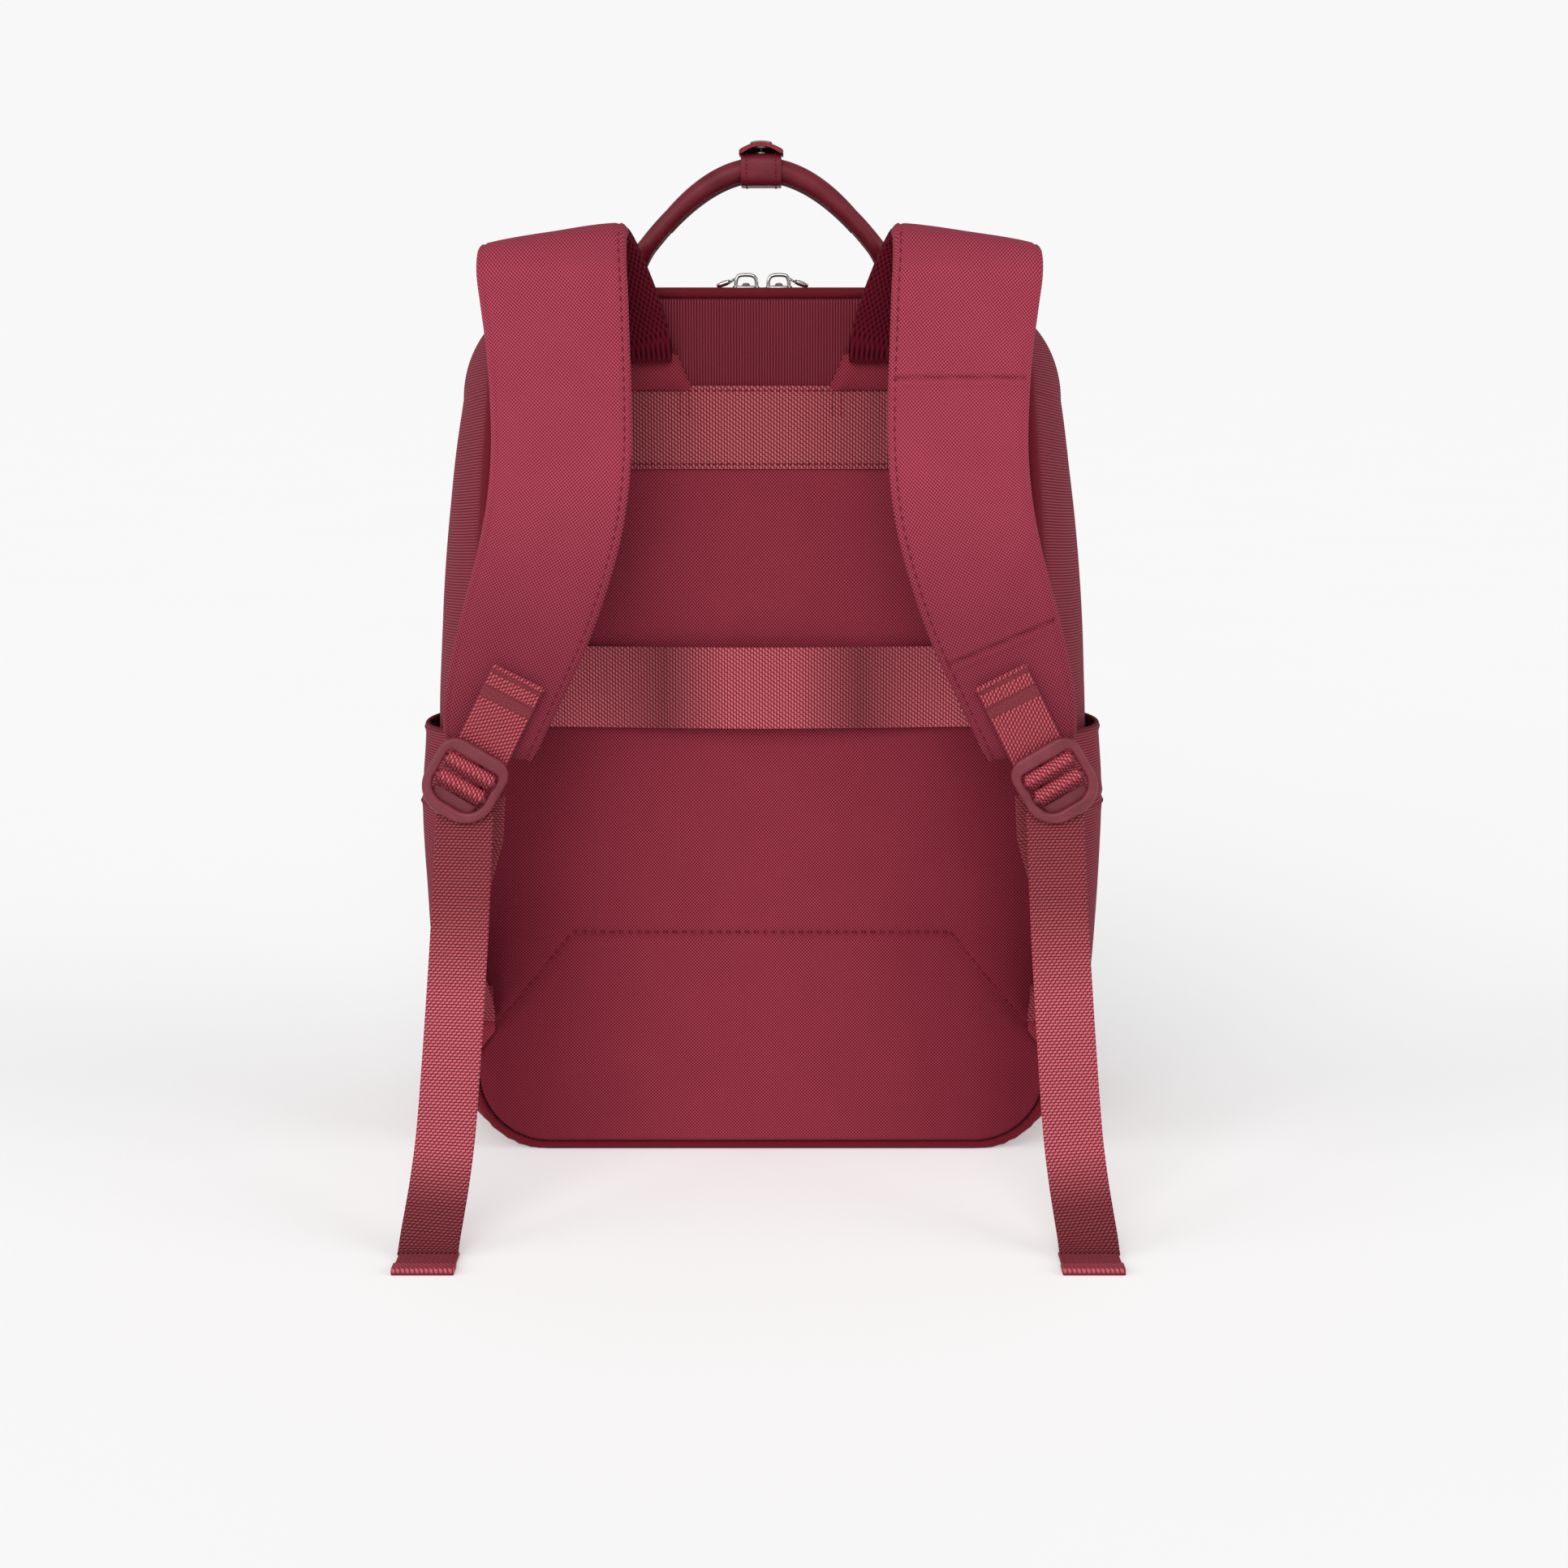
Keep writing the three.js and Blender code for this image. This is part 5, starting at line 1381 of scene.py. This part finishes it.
def strap_tab(side, name):
    """The short webbing sewn on the strap's end. It dips at its two bands of thread, and holds the buckle."""
    (x0, z0), (x1, z1) = TAB_PATH["start"], TAB_PATH["end"]
    count = 90
    t = np.linspace(0, 1, count)
    path = np.stack([side * (x0 + (x1 - x0) * t), np.full(count, TAB_PATH["y"]), z0 + (z1 - z0) * t], 1)
    across = np.array([math.cos(TILT), 0, side * math.sin(TILT)])
    v = np.linalg.norm(path - path[0], axis=1)
    dip = np.zeros(count)
    for low, high in TAB_TACKS:
        dip += 0.55 * np.clip((v - low) / 0.8, 0, 1) * np.clip((high - v) / 0.8, 0, 1)
    path[:, 1] += dip - 0.4
    path[:, 1] += np.clip((v - 30) / 14, 0, 1) ** 2 * 1.2
    ridge = 0.35 * (np.clip((v - 4.6) / 1.0, 0, 1) * np.clip((9.5 - v) / 1.0, 0, 1))
    path[:, 1] -= ridge * (0.6 + 0.4 * np.cos((v - 7) * 2.5))
    section = lambda i, s: webbing_section(WEBBING_WIDTH + 0.5 * (s < 1.4), WEBBING + 0.6 * (s < 1.2))
    obj = ribbon(f"strap_tab_{name}_webbing", path, across, section, [TAB])
    piece(obj, f"strap_{name}", "webbing", f"strap_tab_{name}")


def tail(side, name):
    """The loose webbing that hangs from the buckle to the floor, and its folded hem."""
    path, _ = spline([(side * x, y, z) for x, y, z in TAIL_PATH], 150)
    path = np.vstack([path[0] + np.linspace(6, 0.5, 6)[:, None] * unit(path[0] - path[1]), path])
    path = np.vstack([path, path[-1] + (0, -2.0, -0.3)])
    path[:, 2] = np.maximum(path[:, 2], 1.7)
    waves = 0.35 * np.array([ripple(0, 0, p[2], 40, 61 + side) for p in path])
    path[:, 1] += waves * np.clip((path[:, 2] - 5) / 30, 0, 1)
    section = webbing_section(WEBBING_WIDTH + 1, WEBBING)
    strip = ribbon(f"tail_{name}_webbing", path, ACROSS_X, lambda i, v: section, [TAIL])
    end_x, end_y, _ = TAIL_PATH[-1]
    start_y = end_y + 1.6
    ys = np.linspace(start_y - HEM_SIZE["length"], start_y, 40)
    path = np.stack([np.full(40, side * (end_x - 0.4)), ys, np.full(40, HEM_SIZE["thick"] / 2)], 1)
    hem = ribbon(f"tail_hem_{name}_webbing", path, ACROSS_X, hem_section, [HEM])
    low = min(v.co.z for v in hem.data.vertices)
    for vertex in hem.data.vertices:
        vertex.co.z = vertex.co.z - low + LOWEST * MM
    for obj, node in ((strip, f"tail_{name}"), (hem, f"tail_hem_{name}")):
        squash_tail(piece(obj, f"tail_{name}", "webbing", node))


def hem_section(i, v):
    """The hem's section at a distance from its fold: a round nose, then a thinner, stitched stretch."""
    nose, fold_end, thick = 1.5, 7.5, HEM_SIZE["thick"]
    width = HEM_SIZE["width"] - (0 if v < 8 else 1.2) - 0.6 * max(0, 1 - v / nose)
    if v < nose:
        thick *= math.sqrt(max(0.02, 1 - (1 - v / nose) ** 2))
    elif v > fold_end:
        thick += 0.22 * math.sin(v * 2.4) - 0.7 * min(1, (v - fold_end) / 1.2)
    sink = (HEM_SIZE["thick"] - thick) / 2
    return [(a, b - sink) for a, b in webbing_section(width, thick)]


def squash_tail(obj):
    """The tail's piece gets a mesh of its own."""
    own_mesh(obj)


def lower_webbing(side, name):
    """The webbing from the shell's base corner up to the buckle, and the cloth wing that it is sewn to."""
    path, _ = spline([(side * x, y, z) for x, y, z in LOWER_PATH], 90)
    low = np.clip((165 - path[:, 2]) / 50, 0, 1)
    turn = math.radians(60) * low * (1 - 0.85 * np.clip((110 - path[:, 2]) / 40, 0, 1))
    path[:, 0] += side * 9 * low
    path[:, 1] -= 3 * low
    across = np.stack([np.cos(turn), side * np.sin(turn), np.zeros(90)], 1)
    section = webbing_section(WEBBING_WIDTH, WEBBING)
    obj = ribbon(f"lower_webbing_{name}_strip", path, across, lambda i, v: section, [TAB_PLAIN])
    piece(obj, f"lower_webbing_{name}", "webbing", f"lower_webbing_{name}")
    corners = [(side * 138.5, 46), (side * 139.5, 84), (side * 129, 82), (side * 128, 60)]
    obj = extruded(f"webbing_wing_{name}_cloth", corners, [], 2.6, 0.6, TAB_WEAVE,
                   lambda x, y, z: (x, -0.5 + z, y))
    piece(obj, "root", "shell_fabric", f"webbing_wing_{name}")


# ---- sliders and pulls ----
SLIDER_X = 8.2
SLIDER_Z = 412.2
PULL_PIVOT = {"x": 6.8, "z": 4.6}
PULL_SLOPE = math.radians(20)


def slider(name, body, place, node):
    """A slider: a rounded wing, a neck, and a crown that the pull hangs on. Local x runs towards the pull."""
    wing = box_ring(6.7, 4.3, 2.9, 6)
    lower = extruded(f"{name}_wing", wing, [], 2.0, 0.75, CHROME, lambda x, y, z: place(x, y, 1.0 + z))
    piece(lower, body, "chrome_metal", node)
    arch = spline([(-5.0, 0, 1.6), (-5.0, 0, 4.2), (-4.0, 0, 6.6), (-2.2, 0, 7.25), (0, 0, 7.35), (2.4, 0, 7.2),
                   (4.3, 0, 6.3), (5.2, 0, 4.2), (5.2, 0, 1.6)], 40)[0]
    points = [place(*p) for p in arch]
    along = unit(np.gradient(np.array(points), axis=0))
    side = unit(np.array(place(0, 1, 0)) - np.array(place(0, 0, 0)))
    section = box_ring(2.0, 0.95, 0.7, 3)
    rings = [[np.array(point) + a * side + b * np.cross(way, side) for a, b in section]
             for point, way in zip(points, along)]
    uv = [[(k, i) for k in range(len(section) + 1)] for i in range(len(points))]
    piece(loft(f"{name}_crown", rings, uv, [CHROME], sharp=50), body, "chrome_metal")
    post = turned(f"{name}_post", [(2.3, 1.8), (1.9, 2.6), (1.5, 3.2), (0.3, 3.5)], place, 24)
    piece(post, body, "chrome_metal")


def pull(name, body, place, nodes):
    """A chrome frame round a leather insert, with a ring that links it to the crown. Its free end is at -x."""
    half = 3.9
    outline = [(-1.2, -2.0), (-1.2, 2.0), (-2.2, half)]
    outline += arc(-6.6, half - 1.8, 1.8, 90, 6) + arc(-6.6, 1.8 - half, 1.8, 180, 6)
    outline += [(-2.2, -half)]
    window = [(x - 4.5, y) for x, y in box_ring(2.3, half - 1.3, 0.8)]
    frame_obj = extruded(f"{name}_frame", outline, [window], 2.2, 0.7, CHROME, place)
    piece(frame_obj, body, "chrome_metal", nodes[0])
    core = [(x - 4.5, y) for x, y in box_ring(2.15, half - 1.45, 0.8)]
    insert = extruded(f"{name}_insert", core, [], 2.6, 0.7, LEATHER, place)
    piece(insert, body, "handle_leather", nodes[1])
    ring = [place(-0.3 + 1.7 * math.cos(a), 1.5 * math.sin(a), 0.3 * math.cos(a)) for a in round_angles(40)]
    piece(tube(f"{name}_link", ring, 0.6, CHROME, 10, closed=True), body, "chrome_metal")


def zip_hardware():
    for side, name in ((-1, "left"), (1, "right")):
        place = lambda x, y, z, s=side: (s * (SLIDER_X - x), ZIP_Y + y, SLIDER_Z + z)
        slider(f"zip_slider_{name}", f"slider_{name}", place, f"zip_slider_{name}")

        def pull_place(x, y, z, s=side):
            out = -x
            away = PULL_PIVOT["x"] + out * math.cos(PULL_SLOPE) + z * math.sin(PULL_SLOPE)
            rise = PULL_PIVOT["z"] - out * math.sin(PULL_SLOPE) + z * math.cos(PULL_SLOPE)
            return s * (SLIDER_X + away), ZIP_Y + y, SLIDER_Z + rise

        pull(f"zip_pull_{name}", f"pull_{name}", pull_place, (f"zip_pull_{name}", f"pull_insert_{name}"))
    y = FRONT_Y + 0.35 + 2.5
    place = lambda x, yy, z: (-88 + x, y + z, POCKET_ZIP_Z - yy)
    slider("pocket_slider", "pocket_slider", place, "pocket_slider")
    pull_place = lambda x, yy, z: (-88 - PULL_PIVOT["x"] + x, y + PULL_PIVOT["z"] + z, POCKET_ZIP_Z - yy)
    pull("zip_pull_pocket", "pocket_pull", pull_place, ("zip_pull_pocket", "pull_insert_pocket"))


# ---- inside ----
def inside():
    """The two boards, and the padded laptop sleeve with its bound top."""
    for node in ("frame_sheet", "base_board"):
        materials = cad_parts[node].data.materials
        materials.clear()
        materials.append(BOARD)
    top = 285
    rim = np.array([shell_point(s, 34, 6) for s in spread(0, share_at_height(top))])
    rows = np.linspace(rim[0, 2], rim[-1, 2], 60)
    widths = np.interp(rows, rim[:, 2], rim[:, 0])
    widths[0] = rim[np.abs(rim[:, 2] - rim[0, 2]) < 1e-6][:, 0].max()
    across = np.linspace(-1, 1, 50)
    x = widths[:, None] * across[None, :]
    z = np.repeat(rows[:, None], len(across), 1)
    swell = 1.6 * np.sqrt(np.clip(1 - np.abs(across) ** 4, 0, 1))[None, :] * np.ones_like(z)
    swell *= np.sqrt(np.clip(np.minimum(rows - rows[0], rows[-1] - rows) / 12, 0.02, 1))[:, None]
    front = np.stack([x, 34.4 - 0.8 - swell, z], 2)
    back = np.stack([x, 34.6 + 0.8 + swell, z], 2)
    obj = sheet("laptop_divider_pad", front, back, np.stack([x, z], 2), [LINING])
    piece(obj, "root", "divider_lining", "laptop_divider")
    rim_top = [(xx, 34.5, rows[-1] + 0.2) for xx in x[-1]]
    piece(tube("laptop_divider_binding", rim_top, 2.0, TAPE, 10, up=ACROSS_Y), "root", "zip_tape")


# ---- stage ----
BACKDROP = 0.939
ROOM_LIGHT = 0.36
FLOOR_GLOW = 0.315
CAMERA = {"place": (0.0108, -1.191, 0.386), "pitch": 9.74, "lens": 59.0, "sensor": 36.0}


def stage():
    camera = bpy.data.cameras.new("camera")
    camera.lens = CAMERA["lens"]
    camera.sensor_width = CAMERA["sensor"]
    camera.clip_end = 50
    holder = bpy.data.objects.new("camera", camera)
    holder.location = CAMERA["place"]
    holder.rotation_euler = (math.radians(90 - CAMERA["pitch"]), 0, 0)
    bpy.context.scene.collection.objects.link(holder)
    bpy.context.scene.camera = holder
    look = Look("floor_paper", 0.9, specular=0.1)
    tone = look.noise(look.place()[3], 3.0)
    look.colour(look.ramp(tone, [(0.0, (0.79,) * 3), (1.0, (0.81,) * 3)]))
    look.shader.inputs["Emission Color"].default_value = (1, 1, 1, 1)
    look.shader.inputs["Emission Strength"].default_value = FLOOR_GLOW
    bpy.ops.mesh.primitive_plane_add(size=40, location=(0, 0, 0))
    floor = bpy.context.object
    floor.name = "floor"
    floor.data.materials.append(look.material)
    floor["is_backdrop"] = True


def sun(name, azimuth, elevation, strength, angle):
    """A soft light from far away: azimuth 0 shines along +Y, and a positive azimuth comes from the right."""
    lamp = bpy.data.lights.new(name, "SUN")
    lamp.energy = strength
    lamp.angle = math.radians(angle)
    holder = bpy.data.objects.new(name, lamp)
    turn, rise = math.radians(azimuth), math.radians(elevation)
    source = Vector((math.sin(turn) * math.cos(rise), -math.cos(turn) * math.cos(rise), math.sin(rise)))
    holder.rotation_euler = source.to_track_quat("Z", "Y").to_euler()
    bpy.context.scene.collection.objects.link(holder)


def light():
    """An even studio: the backdrop is pale, and the room lights the object less than the lamps do."""
    world = bpy.data.worlds.new("studio")
    bpy.context.scene.world = world
    world.use_nodes = True
    nodes, links = world.node_tree.nodes, world.node_tree.links
    room, backdrop = nodes["Background"], nodes.new("ShaderNodeBackground")
    for source, strength in ((room, ROOM_LIGHT), (backdrop, BACKDROP)):
        source.inputs["Color"].default_value = (*WHITE, 1)
        source.inputs["Strength"].default_value = strength
    seen = nodes.new("ShaderNodeLightPath")
    choose = nodes.new("ShaderNodeMixShader")
    links.new(seen.outputs["Is Camera Ray"], choose.inputs[0])
    links.new(room.outputs[0], choose.inputs[1])
    links.new(backdrop.outputs[0], choose.inputs[2])
    links.new(choose.outputs[0], nodes["World Output"].inputs[0])
    sun("front", -12, 30, 1.5, 50)
    sun("left", -72, 24, 0.75, 40)
    sun("right", 72, 24, 0.75, 40)
    bpy.context.scene.view_settings.view_transform = "Standard"


stage()
light()
back_panel()
panel_binding()
walls()
base()
cover()
zip_halves()
front_pocket()
bands()
handle_cord(-1, "near")
handle_cord(1, "far")
handle_feet()
handle_wrap()
snap_flap()
flap_fold()
snap()
for side, name in ((-1, "left"), (1, "right")):
    side_pocket(side, name)
    anchor_tab(side, name)
    shoulder_strap(side, name)
    strap_tab(side, name)
    ladder_lock(side, name)
    lower_webbing(side, name)
    tail(side, name)
zip_hardware()
inside()

as_lists = lambda box: [list(corner) for corner in box]
{"cad": as_lists(cad_box), "visual": as_lists(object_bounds())}
